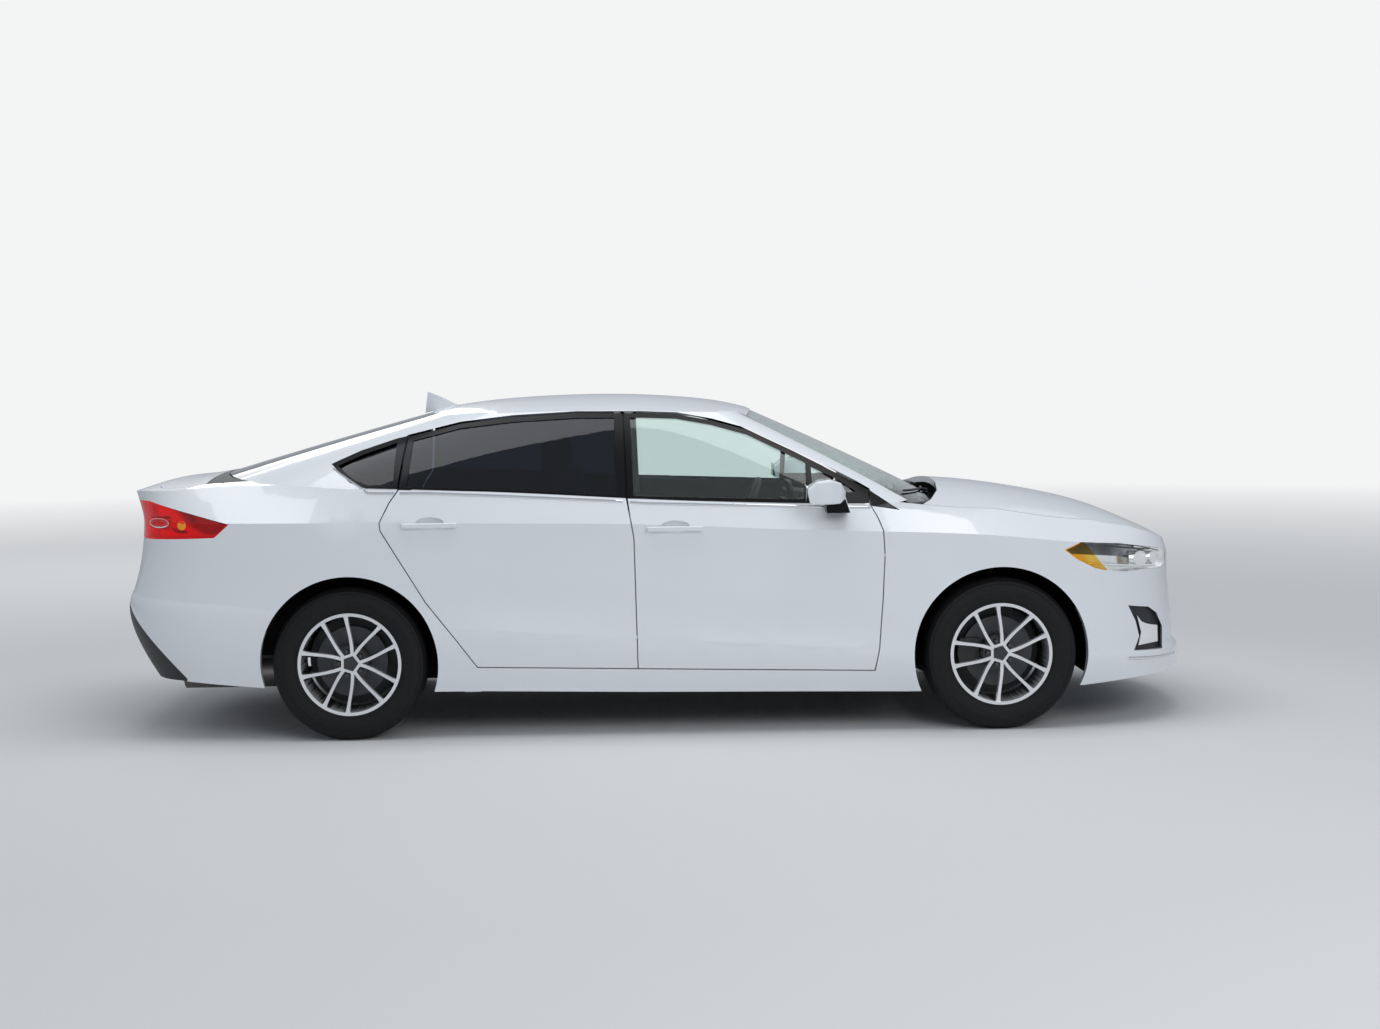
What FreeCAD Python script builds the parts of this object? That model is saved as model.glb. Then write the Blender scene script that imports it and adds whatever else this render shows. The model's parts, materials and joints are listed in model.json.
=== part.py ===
"""A four-door sedan car as an assembly of its real pieces.

Millimetres. +X is the way the car drives, +Y its left side, +Z up. The origin is on the
ground, midway between the bumpers' tips. The body tables are drawn for the standard
length, width and height, and follow these three sizes when one of them is changed.
"""
import FreeCAD, Part
import math
import os

os.makedirs("parts", exist_ok=True)
V = FreeCAD.Vector
X_AXIS = V(1, 0, 0)
Y_AXIS = V(0, 1, 0)
Z_AXIS = V(0, 0, 1)
ORIGIN = V(0, 0, 0)

# Overall sizes
length = 4871.0
width = 1852.0
height = 1482.0
wheelbase = 2850.0
front_overhang = 965.5
track_front = 1582.0
track_rear = 1577.0

# Wheels
tyre_radius = 333.4
tyre_width = 235.0
rim_radius = 219.0
rim_width = 202.0
spoke_pairs = 5
arch_radius = 386.0
arch_centre_height = 334.0

# Walls and gaps
panel_gap = 5.0
skin_depth = 26.0
door_depth = 92.0
frame_depth = 100.0
lid_thickness = 28.0
roof_thickness = 34.0
house_wall = 42.0
door_frame_depth = 18.0
door_swing_room = 4.0
glass_thickness = 5.0
glass_setback = 7.0
glass_rebate = 9.0
bumper_thickness = 42.0
fender_thickness = 22.0
arch_liner = 6.0
floor_height = 228.0
floor_thickness = 14.0

# Joints, wheels and inside
side_inner_y = (width / 2) * (1 - frame_depth / (width / 2)) - 24
door_inner_step = 24.0
hinge_pin_radius = 2.3
DOOR_HINGES = {"front_door": (957.4, 905.4, 778), "rear_door": (-128.5, 916.7, 439.5)}
hinge_pin_length = 12.0
DOOR_HANDLES = {"front_door": (-79, 166, 908), "rear_door": (-1139, -899, 937)}
handle_y = 936.0
handle_thickness = 12.0
scoop_half_length = 62.0
scoop_half_height = 27.0
scoop_depth = 22.0
scoop_rise = 10.0
scoop_y = 914.0
rear_house_inner_y = 620.0
front_house_inner_y = 478.0
front_house_radius = 410.0
fuel_pocket_depth = 60.0
fuel_door_thickness = 10.0
FUEL_DOOR = (-1600, -1440, 800, 930)
fuel_hinge_y = 919.0
hood_hinge_x = 1085.0
hood_hinge_z = 930.0
hood_arm_y = 706.0
trunk_hinge_x = -1960.0
trunk_hinge_z = 1109.0
trunk_pin_radius = 3.0
trunk_lip_thickness = 8.0
trunk_lip_x = -2062.0
pillar_neck_top = 1056.0
headlamp_depth = 60.0
lens_thickness = 4.0
lamp_wall = 5.0
# Lamp barrels along x. Columns: x of the back, y, z, radius.
HEADLAMP_BARRELS = ((2060, 742, 732, 34), (2130, 655, 728, 30))
TAIL_LAMP_BARRELS = ((-2500, 700, 955, 24),)
jack_y = 800.0
JACK_PADS = ((870, 168), (-850, 195))
vent_inner_y = 600.0
grille_post_share = 0.55
plate_recess_depth = 12.0
PLATE_RECESS = (-262, 262, 800, 930)
rear_seat_x = -1000.0
tunnel_end_x = -620.0
cowl_drop = 90.0
trunk_floor_z = 344.0
STEERING_AXIS = V(-math.cos(math.radians(24)), 0, math.sin(math.radians(24)))
steering_x = 420.0
steering_y = 370.0
steering_z = 880.0
steering_ring_radius = 175.0
seat_y = 370.0
# One spoke from a hub corner. Columns: distance out, distance to the side, half width.
SPOKE = ((38, 5, 7), (70, 15, 7.5), (110, 33, 7), (150, 54, 7.5), (182, 71, 9), (206, 84, 15))
# Dished face of the spokes. Columns: radius, place along the axle.
SPOKE_FACE = ((0, 38), (60, 40), (130, 52), (214, 66), (214, 96), (130, 82), (60, 71), (0, 69))
hub_corner_radius = 50.0
hub_plate_radius = 74.0
hub_back_y = 38.0
bolt_circle = 108.0
bolt_hole_radius = 11.0
disc_radius = 155.0
disc_y = -22.0
# Wipers. Columns: y of the blade's tip and heel, and of its pivot.
WIPERS = ((-600, -20, 60), (0, 590, 640))
wiper_tip_z = 1040.0
wiper_heel_z = 1022.0
wiper_lift = 9.0
wiper_radius = 5.0
wiper_boss_radius = 13.0
wiper_boss_drop = 6.7
mirror_y = 928.0
mirror_edge_radius = 12.0
MIRROR_SIDE = ((602, 1030), (612, 1082), (650, 1112), (706, 1119), (756, 1102), (781, 1062),
               (778, 1030), (750, 1012), (640, 1010))
MIRROR_PLAN = ((602, 928), (602, 1054), (660, 1058), (718, 1046), (760, 1014), (784, 964),
               (776, 928))
knuckle_outer_y_rear = track_rear / 2 + disc_y - 12.3
kingpin_low_y = 735.0
kingpin_low_z = 222.0
kingpin_high_y = 602.4
kingpin_high_z = 737.0

# Scale of the tables against the standard car
kx = length / 4871.0
ky = width / 1852.0
kz = height / 1482.0
front_axle_x = length / 2 - front_overhang
rear_axle_x = front_axle_x - wheelbase

# Body sides from the rear centre round the left side to the front centre. Columns: widest
# plan point x, y; heights of the bottom edge, the low crease, the shoulder crease and the
# upper edge; how far the bottom, skirt, low crease, middle, shoulder and upper edge lie
# inside the widest plan point.
BODY_STATIONS = (
    (-2435.5, 0, 262, 640, 960, 1078, 135, 12, 22, 70, 90, 45),
    (-2427, 340, 262, 640, 960, 1080, 130, 12, 22, 70, 88, 45),
    (-2388, 600, 262, 638, 962, 1085, 120, 11, 20, 60, 75, 50),
    (-2290, 780, 264, 632, 965, 1095, 100, 9, 16, 40, 50, 75),
    (-2130, 875, 262, 620, 962, 1105, 80, 8, 12, 22, 25, 120),
    (-1850, 915, 240, 597, 957, 1108, 60, 8, 8, 10, 10, 160),
    (-1380, 926, 209, 530, 953, 1098, 50, 10, 4, 4, 8, 85),
    (-800, 924, 205, 478, 943, 1078, 50, 12, 6, 20, 8, 62),
    (-100, 924, 190, 431, 929, 1035, 50, 12, 6, 20, 8, 58),
    (600, 922, 180, 385, 895, 1003, 50, 12, 6, 20, 8, 60),
    (1050, 921, 172, 360, 879, 975, 50, 12, 6, 16, 8, 90),
    (1470, 924, 170, 345, 856, 962, 50, 12, 6, 3, 8, 180),
    (1850, 895, 184, 335, 818, 912, 45, 12, 8, 6, 10, 185),
    (2090, 815, 205, 330, 796, 872, 30, 10, 12, 15, 25, 130),
    (2265, 660, 225, 330, 757, 832, 15, 8, 18, 30, 45, 95),
    (2375, 430, 245, 330, 735, 800, 5, 8, 22, 45, 55, 78),
    (2424, 200, 255, 330, 722, 782, 0, 8, 26, 50, 58, 78),
    (2435.5, 0, 258, 330, 717, 776, 0, 10, 28, 52, 60, 80),
)
skirt_share = 0.6
upper_extension = 1.5
body_floor_z = 100.0
body_ceiling_z = 1300.0

# Hood, belt and deck surface. Columns: x, height at the middle, height and y at the edge.
TOP_STATIONS = (
    (-2600, 1040, 1030, 700),
    (-2380, 1082, 1072, 700),
    (-2300, 1108, 1088, 700),
    (-2172, 1123, 1098, 720),
    (-2000, 1148, 1108, 750),
    (-1700, 1160, 1108, 790),
    (-1380, 1150, 1098, 830),
    (-800, 1110, 1078, 860),
    (-100, 1070, 1036, 866),
    (600, 1060, 1003, 860),
    (1050, 1070, 978, 820),
    (1283, 1065, 972, 745),
    (1470, 1049, 962, 742),
    (1637, 1025, 943, 738),
    (1827, 989, 914, 722),
    (2016, 939, 882, 680),
    (2194, 865, 835, 600),
    (2297, 812, 800, 420),
    (2355, 770, 765, 400),
    (2600, 500, 490, 400),
)
top_crown = 2.2

# Cabin sides from the rear centre round the left side to the front centre. Columns: x, y,
# z at the belt and x, y, z at the roof's edge.
CABIN_STATIONS = (
    (-2005, 0, 1152, -1060, 0, 1416),
    (-1985, 300, 1150, -1060, 200, 1413),
    (-1925, 520, 1142, -1050, 370, 1406),
    (-1810, 680, 1122, -1010, 490, 1402),
    (-1600, 785, 1104, -920, 570, 1402),
    (-1280, 838, 1088, -750, 612, 1412),
    (-800, 854, 1075, -480, 630, 1422),
    (-100, 860, 1035, -150, 635, 1424),
    (500, 848, 1005, 100, 622, 1416),
    (880, 806, 990, 250, 592, 1404),
    (1080, 730, 986, 335, 530, 1398),
    (1185, 580, 990, 385, 400, 1400),
    (1245, 320, 1000, 415, 210, 1404),
    (1265, 0, 1004, 425, 0, 1405),
)
cabin_bulge = 14.0
cabin_floor_z = 850.0
cabin_ceiling_z = 1750.0
cabin_centre_x = -370.0

# Roof surface. Columns: x, height at the middle, height at y = 600.
ROOF_STATIONS = (
    (-2500, 1250, 1225),
    (-1700, 1330, 1305),
    (-1250, 1394, 1362),
    (-963, 1439, 1396),
    (-759, 1464, 1412),
    (-474, 1480, 1424),
    (-189, 1482, 1426),
    (96, 1466, 1414),
    (286, 1442, 1400),
    (415, 1412, 1385),
    (800, 1310, 1290),
    (1600, 1100, 1080),
)

# Outlines of the left side in x and z
FRONT_DOOR = ((911, 272), (931, 371), (949, 590), (958, 778), (951, 887), (931, 942),
              (906, 988), (906, 1056), (841, 1094), (687, 1173), (532, 1248), (374, 1326),
              (217, 1370), (59, 1400), (-100, 1407), (-175, 1408), (-163, 1038),
              (-152, 961), (-136, 870), (-125.5, 297))
REAR_DOOR = ((-125.5, 297), (-136, 870), (-152, 961), (-166, 1038),
             (-178, 1408), (-383, 1410), (-663, 1396), (-895, 1370), (-1128, 1315),
             (-1158, 1086), (-1194, 1035), (-1235, 951), (-1231, 916), (-1158, 794),
             (-1042, 601), (-909, 431), (-824, 314))
FRONT_WINDOW = ((628, 1022), (-100, 1048), (-134, 1050), (-145, 1384), (-100, 1384),
                (59, 1377), (217, 1347), (374, 1302), (532, 1224), (628, 1175))
SAIL_WINDOW = ((652, 1050), (850, 1048), (770, 1102), (652, 1158))
REAR_WINDOW = ((-208, 1054), (-734, 1084), (-1122, 1100), (-1104, 1296), (-895, 1348),
               (-663, 1373), (-383, 1387), (-216, 1386))
QUARTER_WINDOW = ((-1182, 1112), (-1290, 1108), (-1360, 1135), (-1432, 1192), (-1330, 1236),
                  (-1176, 1288))
HEADLAMP = ((1746, 789), (1820, 821), (2004, 809), (2159, 783), (2246, 764), (2330, 745),
            (2330, 690), (2235, 676), (2095, 680), (2034, 678), (1969, 686), (1887, 704),
            (1802, 747))
TAIL_LAMP = ((-2435, 1046), (-2261, 1049), (-1882, 953), (-1948, 895), (-2275, 884),
             (-2435, 884))
BUMPER_VENT = ((2046, 531), (2155, 515), (2204, 482), (2242, 415), (2239, 316),
               (2077, 327), (2104, 389), (2085, 457))
FRONT_BUMPER_SPLIT = ((2700, 900), (2200, 900), (1990, 800), (1888, 687), (1803, 619),
                      (1803, 100), (2700, 100))
REAR_BUMPER_SPLIT = ((-2700, 690), (-2370, 643), (-2188, 628), (-1837, 597), (-1747, 587),
                     (-1700, 100), (-2700, 100))
B_PILLAR = ((-105, 970), (-215, 970), (-225, 1420), (-120, 1420))
headlamp_inner_y = 520.0
tail_lamp_inner_y = 560.0

# Grille openings seen from the front: half outline in y and z, then how many bars
GRILLES = ((((290, 702), (425, 668), (462, 610), (330, 452)), 7),
           (((455, 402), (520, 352), (478, 300)), 4))
# Glass edges seen from the front: y, z
WINDSHIELD_EDGE = ((696, 985), (500, 1440))
BACKLIGHT_EDGE = ((600, 1124), (410, 1460))
# Roof panel edge seen from above: x, y
ROOF_EDGE = ((425, 60), (408, 300), (385, 470), (330, 520), (200, 548), (-150, 566),
             (-500, 562), (-800, 545), (-960, 500), (-1030, 400), (-1058, 200), (-1064, 60))
# Hood edge seen from above: x, y
HOOD_EDGE = ((1283, 60), (1276, 250), (1250, 480), (1198, 650), (1150, 736), (1300, 738),
             (1470, 738), (1700, 728), (1860, 705), (2000, 665), (2150, 575), (2265, 425),
             (2330, 230), (2350, 60))
# Trunk lid edge seen from above: x, y
TRUNK_EDGE = ((-2030, 60), (-2030, 300), (-2028, 520), (-2024, 664), (-1950, 668),
              (-1950, 690), (-2150, 690), (-2215, 650), (-2245, 545), (-2600, 545))
trunk_lid_bottom_z = 770.0


def smooth(points, params, square_ends=False):
    """Cubic curve through the points; square ends leave the middle plane at right angles."""
    curve = Part.BSplineCurve()
    if square_ends:
        first = points[0].distanceToPoint(points[1]) / (params[1] - params[0])
        last = points[-1].distanceToPoint(points[-2]) / (params[-1] - params[-2])
        curve.interpolate(Points=points, Parameters=params, InitialTangent=Y_AXIS * first,
                          FinalTangent=Y_AXIS * -last, Scale=False)
    else:
        curve.interpolate(Points=points, Parameters=params)
    return curve


def surface(rows, params, levels, square_ends=False):
    """Surface through rows of points that share their parameters."""
    along = [smooth(row, params, square_ends) for row in rows]
    across = [smooth(list(column), levels) for column in zip(*[c.getPoles() for c in along])]
    result = Part.BSplineSurface()
    result.buildFromPolesMultsKnots([c.getPoles() for c in across],
                                    along[0].getMultiplicities(), across[0].getMultiplicities(),
                                    along[0].getKnots(), across[0].getKnots(), False, False,
                                    along[0].Degree, across[0].Degree)
    return result.toShape()


def chord_params(points):
    lengths = [0.0]
    for a, b in zip(points, points[1:]):
        lengths.append(lengths[-1] + a.distanceToPoint(b))
    return [s / lengths[-1] for s in lengths]


def flipped(shape):
    """The right-hand copy of a left-hand shape."""
    return shape.mirror(ORIGIN, Y_AXIS)


def sides(name, shape):
    export(name + "_left", shape)
    export(name + "_right", flipped(shape))


def export(name, shape):
    solids = shape.Solids
    good = Part.Compound(solids) if len(solids) > 1 else solids[0]
    good.exportStep("parts/" + name + ".step")
    print("%-24s %d solids %9.2f litres %s" % (name, len(solids), good.Volume / 1e6,
                                               good.isValid()))


def wrapped_solid(bands, params):
    """Closed solid from bands of rows that go round one half, and their mirror."""
    faces = []
    for rows in bands:
        levels = [i / (len(rows) - 1.0) for i in range(len(rows))]
        band = surface(rows, params, levels, True)
        faces += [band, flipped(band)]
    for rim in (bands[0][0], bands[-1][-1]):
        edge = smooth(rim, params, True).toShape()
        faces.append(Part.Face(Part.Wire([edge, flipped(edge)])))
    shell = Part.makeShell(faces)
    shell.sewShape()
    return Part.Solid(shell)


def body_solid():
    """The lower body's outer form, filled."""
    plan = [V(s[0] * kx, s[1] * ky, 0) for s in BODY_STATIONS]
    outward = []
    for i in range(len(plan)):
        step = plan[min(i + 1, len(plan) - 1)] - plan[max(i - 1, 0)]
        step.normalize()
        outward.append(V(-step.y, step.x, 0))
    outward[0] = -X_AXIS
    outward[-1] = X_AXIS

    def row(inset, heights):
        return [plan[i] - outward[i] * BODY_STATIONS[i][inset] + V(0, 0, heights[i])
                for i in range(len(plan))]

    z_bottom, z_low, z_shoulder, z_upper = [[s[c] * kz for s in BODY_STATIONS]
                                            for c in (2, 3, 4, 5)]
    z_skirt = [b + skirt_share * (l - b) for b, l in zip(z_bottom, z_low)]
    z_middle = [(l + s) / 2 for l, s in zip(z_low, z_shoulder)]
    bottom = row(6, z_bottom)
    skirt = row(7, z_skirt)
    low = row(8, z_low)
    middle = row(9, z_middle)
    shoulder = row(10, z_shoulder)
    upper = [s + (u - s) * upper_extension for s, u in zip(shoulder, row(11, z_upper))]
    floor = [V(p.x, p.y, body_floor_z * kz) for p in bottom]
    ceiling = [V(p.x, p.y, body_ceiling_z * kz) for p in upper]
    return wrapped_solid([(floor, bottom), (bottom, skirt, low), (low, middle, shoulder),
                          (shoulder, upper), (upper, ceiling)], chord_params(plan))


def height_field(stations, edge_y_list, y_steps, crown, depth):
    """Solid below a crowned surface; stations give x, middle and edge heights."""
    rows = []
    for (x, z_mid, z_edge), edge_y in zip(stations, edge_y_list):
        rows.append([V(x * kx, y * ky, (z_mid - (z_mid - z_edge) * (abs(y) / edge_y) ** crown) * kz)
                     for y in y_steps])
    span = y_steps[-1] - y_steps[0]
    along = [(y - y_steps[0]) / float(span) for y in y_steps]
    reach = stations[-1][0] - stations[0][0]
    across = [(s[0] - stations[0][0]) / float(reach) for s in stations]
    return surface(rows, along, across).extrude(V(0, 0, -depth))


def top_solid():
    y_steps = (-1000, -850, -650, -400, -200, 0, 200, 400, 650, 850, 1000)
    return height_field([s[:3] for s in TOP_STATIONS], [s[3] for s in TOP_STATIONS],
                        y_steps, top_crown, 1500 * kz)


def roof_solid():
    y_steps = (-1000, -600, -300, 0, 300, 600, 1000)
    return height_field(ROOF_STATIONS, [600] * len(ROOF_STATIONS), y_steps, top_crown,
                        1200 * kz)


def cabin_solids():
    """The cabin's outer form above the belt, filled, without and with its roof."""
    belt = [V(s[0] * kx, s[1] * ky, s[2] * kz) for s in CABIN_STATIONS]
    roof = [V(s[3] * kx, s[4] * ky, s[5] * kz) for s in CABIN_STATIONS]
    params = chord_params(belt)
    centre = V(cabin_centre_x * kx, 0, 0)
    middle = []
    for low, high in zip(belt, roof):
        mid = (low + high) * 0.5
        out = V(mid.x - centre.x, mid.y, 0)
        out.normalize()
        middle.append(mid + out * cabin_bulge)
    floor = [V(p.x, p.y, cabin_floor_z * kz) for p in belt]
    above = [high + (high - mid) for mid, high in zip(middle, roof)]
    ceiling = [V(p.x, p.y, cabin_ceiling_z * kz) for p in above]
    form = wrapped_solid([(floor, belt), (belt, middle, roof), (roof, above),
                          (above, ceiling)], params)
    return form, form.common(roof_solid()).Solids[0]


def shrunk(shape, amount, drop, centre_x, half_length, half_width):
    """The same form moved inwards by an amount on every side, and lowered."""
    sx = 1 - amount / half_length
    sy = 1 - amount / half_width
    matrix = FreeCAD.Matrix(sx, 0, 0, centre_x * (1 - sx), 0, sy, 0, 0, 0, 0, 1, -drop,
                            0, 0, 0, 1)
    return shape.transformGeometry(matrix)


def side_prism(points, y_inner=0.0, y_outer=1200.0):
    """Prism across the left side over an outline in x and z."""
    corners = [V(x * kx, y_inner, z * kz) for x, z in points]
    face = Part.Face(Part.makePolygon(corners + corners[:1]))
    return face.extrude(V(0, y_outer - y_inner, 0))


def offset_outline(points, amount):
    """Outline moved outwards by an amount; negative moves inwards."""
    wire = Part.makePolygon([V(x, 0, z) for x, z in list(points) + [points[0]]])
    moved = wire.makeOffset2D(amount, 2)
    return [(v.Point.x, v.Point.z) for v in moved.OrderedVertexes]


def plan_prism(points, grow=0.0, low=0.0, high=1800.0):
    """Prism over a half outline in x and y and its mirror."""
    corners = [V(x * kx, y * ky, low) for x, y in points]
    other = [V(p.x, -p.y, p.z) for p in reversed(corners)]
    wire = Part.makePolygon(corners + other + corners[:1])
    if grow:
        wire = wire.makeOffset2D(grow, 2)
    return Part.Face(wire).extrude(V(0, 0, high - low))


def front_prism(points, grow=0.0, near=0.0, far=2600.0):
    """Prism along x over a half outline in y and z and its mirror."""
    corners = [V(near, y * ky, z * kz) for y, z in points]
    other = [V(p.x, -p.y, p.z) for p in reversed(corners)]
    wire = Part.makePolygon(corners + other + corners[:1])
    if grow:
        wire = wire.makeOffset2D(grow, 2)
    return Part.Face(wire).extrude(V(far - near, 0, 0))


def box(x0, x1, y0, y1, z0, z1):
    return Part.makeBox(x1 - x0, y1 - y0, z1 - z0, V(x0, y0, z0))


def cylinder_y(radius, x, z, y0, y1):
    return Part.makeCylinder(radius, y1 - y0, V(x, y0, z), Y_AXIS)


BODY_FORM = body_solid()
BODY = BODY_FORM.common(top_solid()).Solids[0]
CABIN_FORM, CABIN = cabin_solids()


def body_inside(amount):
    """The body's form, smaller all round and lower."""
    return shrunk(BODY, amount, amount, 0, length / 2, width / 2)


def side_inside(amount):
    """The body's form, smaller all round, with no top."""
    return shrunk(BODY_FORM, amount, 0, 0, length / 2, width / 2)


def cabin_inside(amount):
    return shrunk(CABIN, amount, amount, cabin_centre_x * kx, 1630 * kx, 860 * ky)


def cabin_side_inside(amount):
    return shrunk(CABIN_FORM, amount, 0, cabin_centre_x * kx, 1630 * kx, 860 * ky)


SKIN_IN = side_inside(skin_depth)
SKIN_CLEAR = side_inside(skin_depth + panel_gap)
DOOR_IN = side_inside(door_depth)
FRAME_IN = side_inside(frame_depth)
CABIN_IN = cabin_inside(house_wall)
CABIN_DOOR_IN = cabin_side_inside(door_frame_depth)
CABIN_GLASS_OUT = cabin_side_inside(glass_setback)
CABIN_GLASS_IN = cabin_side_inside(glass_setback + glass_thickness)
HOOD_OPENING = plan_prism(HOOD_EDGE, panel_gap)
TRUNK_OPENING = plan_prism(TRUNK_EDGE, panel_gap, trunk_lid_bottom_z * kz - panel_gap)
HEADLAMP_PRISM = side_prism(HEADLAMP, headlamp_inner_y * ky)
TAIL_LAMP_PRISM = side_prism(TAIL_LAMP, tail_lamp_inner_y * ky)
FRONT_BUMPER_PRISM = side_prism(FRONT_BUMPER_SPLIT)
REAR_BUMPER_PRISM = side_prism(REAR_BUMPER_SPLIT)
WINDSHIELD_PRISM = front_prism(WINDSHIELD_EDGE, 0.0, 150 * kx, 1600 * kx)
BACKLIGHT_PRISM = front_prism(BACKLIGHT_EDGE, 0.0, -2200 * kx, -850 * kx)
ROOF_PRISM = plan_prism(ROOF_EDGE, 0.0, 1350 * kz)


def below_prism():
    """What lies under the body's bottom edge."""
    line = [(-2700, 262)] + [(s[0], s[2]) for s in BODY_STATIONS[3:14]] + [(2700, 240)]
    return side_prism(line + [(2700, -50), (-2700, -50)], -1200, 1200)


BELOW = below_prism()
ARCH_FRONT = cylinder_y(arch_radius, front_axle_x, arch_centre_height, 400, 1200)
ARCH_REAR = cylinder_y(arch_radius, rear_axle_x, arch_centre_height, 400, 1200)
LEFT = box(-3000, 3000, 0, 1300, -10, 2000)


def solid_of(shape):
    """The largest solid of a result."""
    return max(shape.Solids, key=lambda s: s.Volume)


def joined(first, *rest):
    return first.fuse(list(rest)).removeSplitter()


def door(outline, windows):
    """A door: skin, inset inner body, window frame and its glass, for the left side."""
    edge = offset_outline(outline, -panel_gap / 2)
    inner_edge = offset_outline(outline, -door_inner_step)
    prism = side_prism(edge, 300)
    inner_prism = side_prism(inner_edge, 300)
    above = box(-1600 * kx, 1200 * kx, 300, 1200, 985 * kz, 1600 * kz)
    lower = solid_of(BODY.common(prism).cut(SKIN_IN))
    lower = lower.fuse(solid_of(BODY.common(SKIN_IN).common(inner_prism).cut(DOOR_IN)))
    frame = CABIN.common(prism).common(above).cut(CABIN_DOOR_IN)
    glass = []
    for window in windows:
        opening = side_prism(window, 300)
        rebate = side_prism(offset_outline(window, glass_rebate), 300)
        frame = frame.cut(opening).cut(rebate.common(CABIN_GLASS_OUT))
        lower = lower.cut(rebate)
        pane = CABIN_GLASS_OUT.common(side_prism(offset_outline(window, glass_rebate - 0.3), 300))
        glass.append(solid_of(pane.cut(CABIN_GLASS_IN)))
    return solid_of(lower.fuse(solid_of(frame))), Part.Compound(glass)


def build_doors():
    for name, outline, windows in (("front_door", FRONT_DOOR, (FRONT_WINDOW, SAIL_WINDOW)),
                                   ("rear_door", REAR_DOOR, (REAR_WINDOW,))):
        panel, glass = door(outline, windows)
        panel = panel.cut(handle_scoop(name))
        sides(name, joined(panel, hinge_pin(name), door_handle(name)))
        sides(name + "_glass", glass)


def hinge_leaf(name):
    """Leaf in the shut line between the pillar and the door's hinge pin."""
    x, y, z = DOOR_HINGES[name]
    return box(x * kx - 1, x * kx + 1, y * ky - 45, y * ky - hinge_pin_radius - 0.3,
               z * kz - hinge_pin_length / 2, z * kz + hinge_pin_length / 2)


def hinge_pin(name):
    x, y, z = DOOR_HINGES[name]
    return Part.makeCylinder(hinge_pin_radius, hinge_pin_length,
                             V(x * kx, y * ky, z * kz - hinge_pin_length / 2))


def handle_scoop(name):
    """Shallow bowl behind the handle, for the fingers."""
    x0, x1, z = DOOR_HANDLES[name]
    ball = Part.makeSphere(1.0)
    half = FreeCAD.Matrix()
    half.scale(scoop_half_length, scoop_depth, scoop_half_height)
    return ball.transformGeometry(half).translated(V((x0 + x1) / 2 * kx, scoop_y * ky,
                                                     (z + scoop_rise) * kz))


def door_handle(name):
    x0, x1, z = DOOR_HANDLES[name]
    y = handle_y * ky
    bar = box(x0 * kx, x1 * kx, y - handle_thickness, y, z * kz - 11, z * kz + 11)
    bar = bar.makeFillet(5, bar.Edges)
    feet = [box(x * kx - 12, x * kx + 12, y - 50, y - 3, z * kz - 8, z * kz + 8)
            for x in (x0 + 25, x1 - 25)]
    return bar.fuse(feet)


def wheel_house(axle_x, radius, inner_y, window_z, depth):
    """Cup over a wheel, open below and where the axle comes through."""
    cup = cylinder_y(radius + arch_liner, axle_x, arch_centre_height, inner_y - arch_liner, 1000)
    cup = cup.cut(cylinder_y(radius, axle_x, arch_centre_height, inner_y, 1100))
    cup = cup.common(side_inside(depth)).cut(box(-3000, 3000, 0, 1200, -10, floor_height))
    return cup.cut(box(axle_x - 230, axle_x + 230, 0, inner_y + 1, 0, window_z))


def arch_flange(axle_x, radius, depth):
    ring = cylinder_y(radius + arch_liner, axle_x, arch_centre_height, 600, 1100)
    ring = ring.cut(cylinder_y(arch_radius, axle_x, arch_centre_height, 500, 1200))
    return ring.common(BODY).cut(side_inside(depth)).cut(BELOW)


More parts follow.
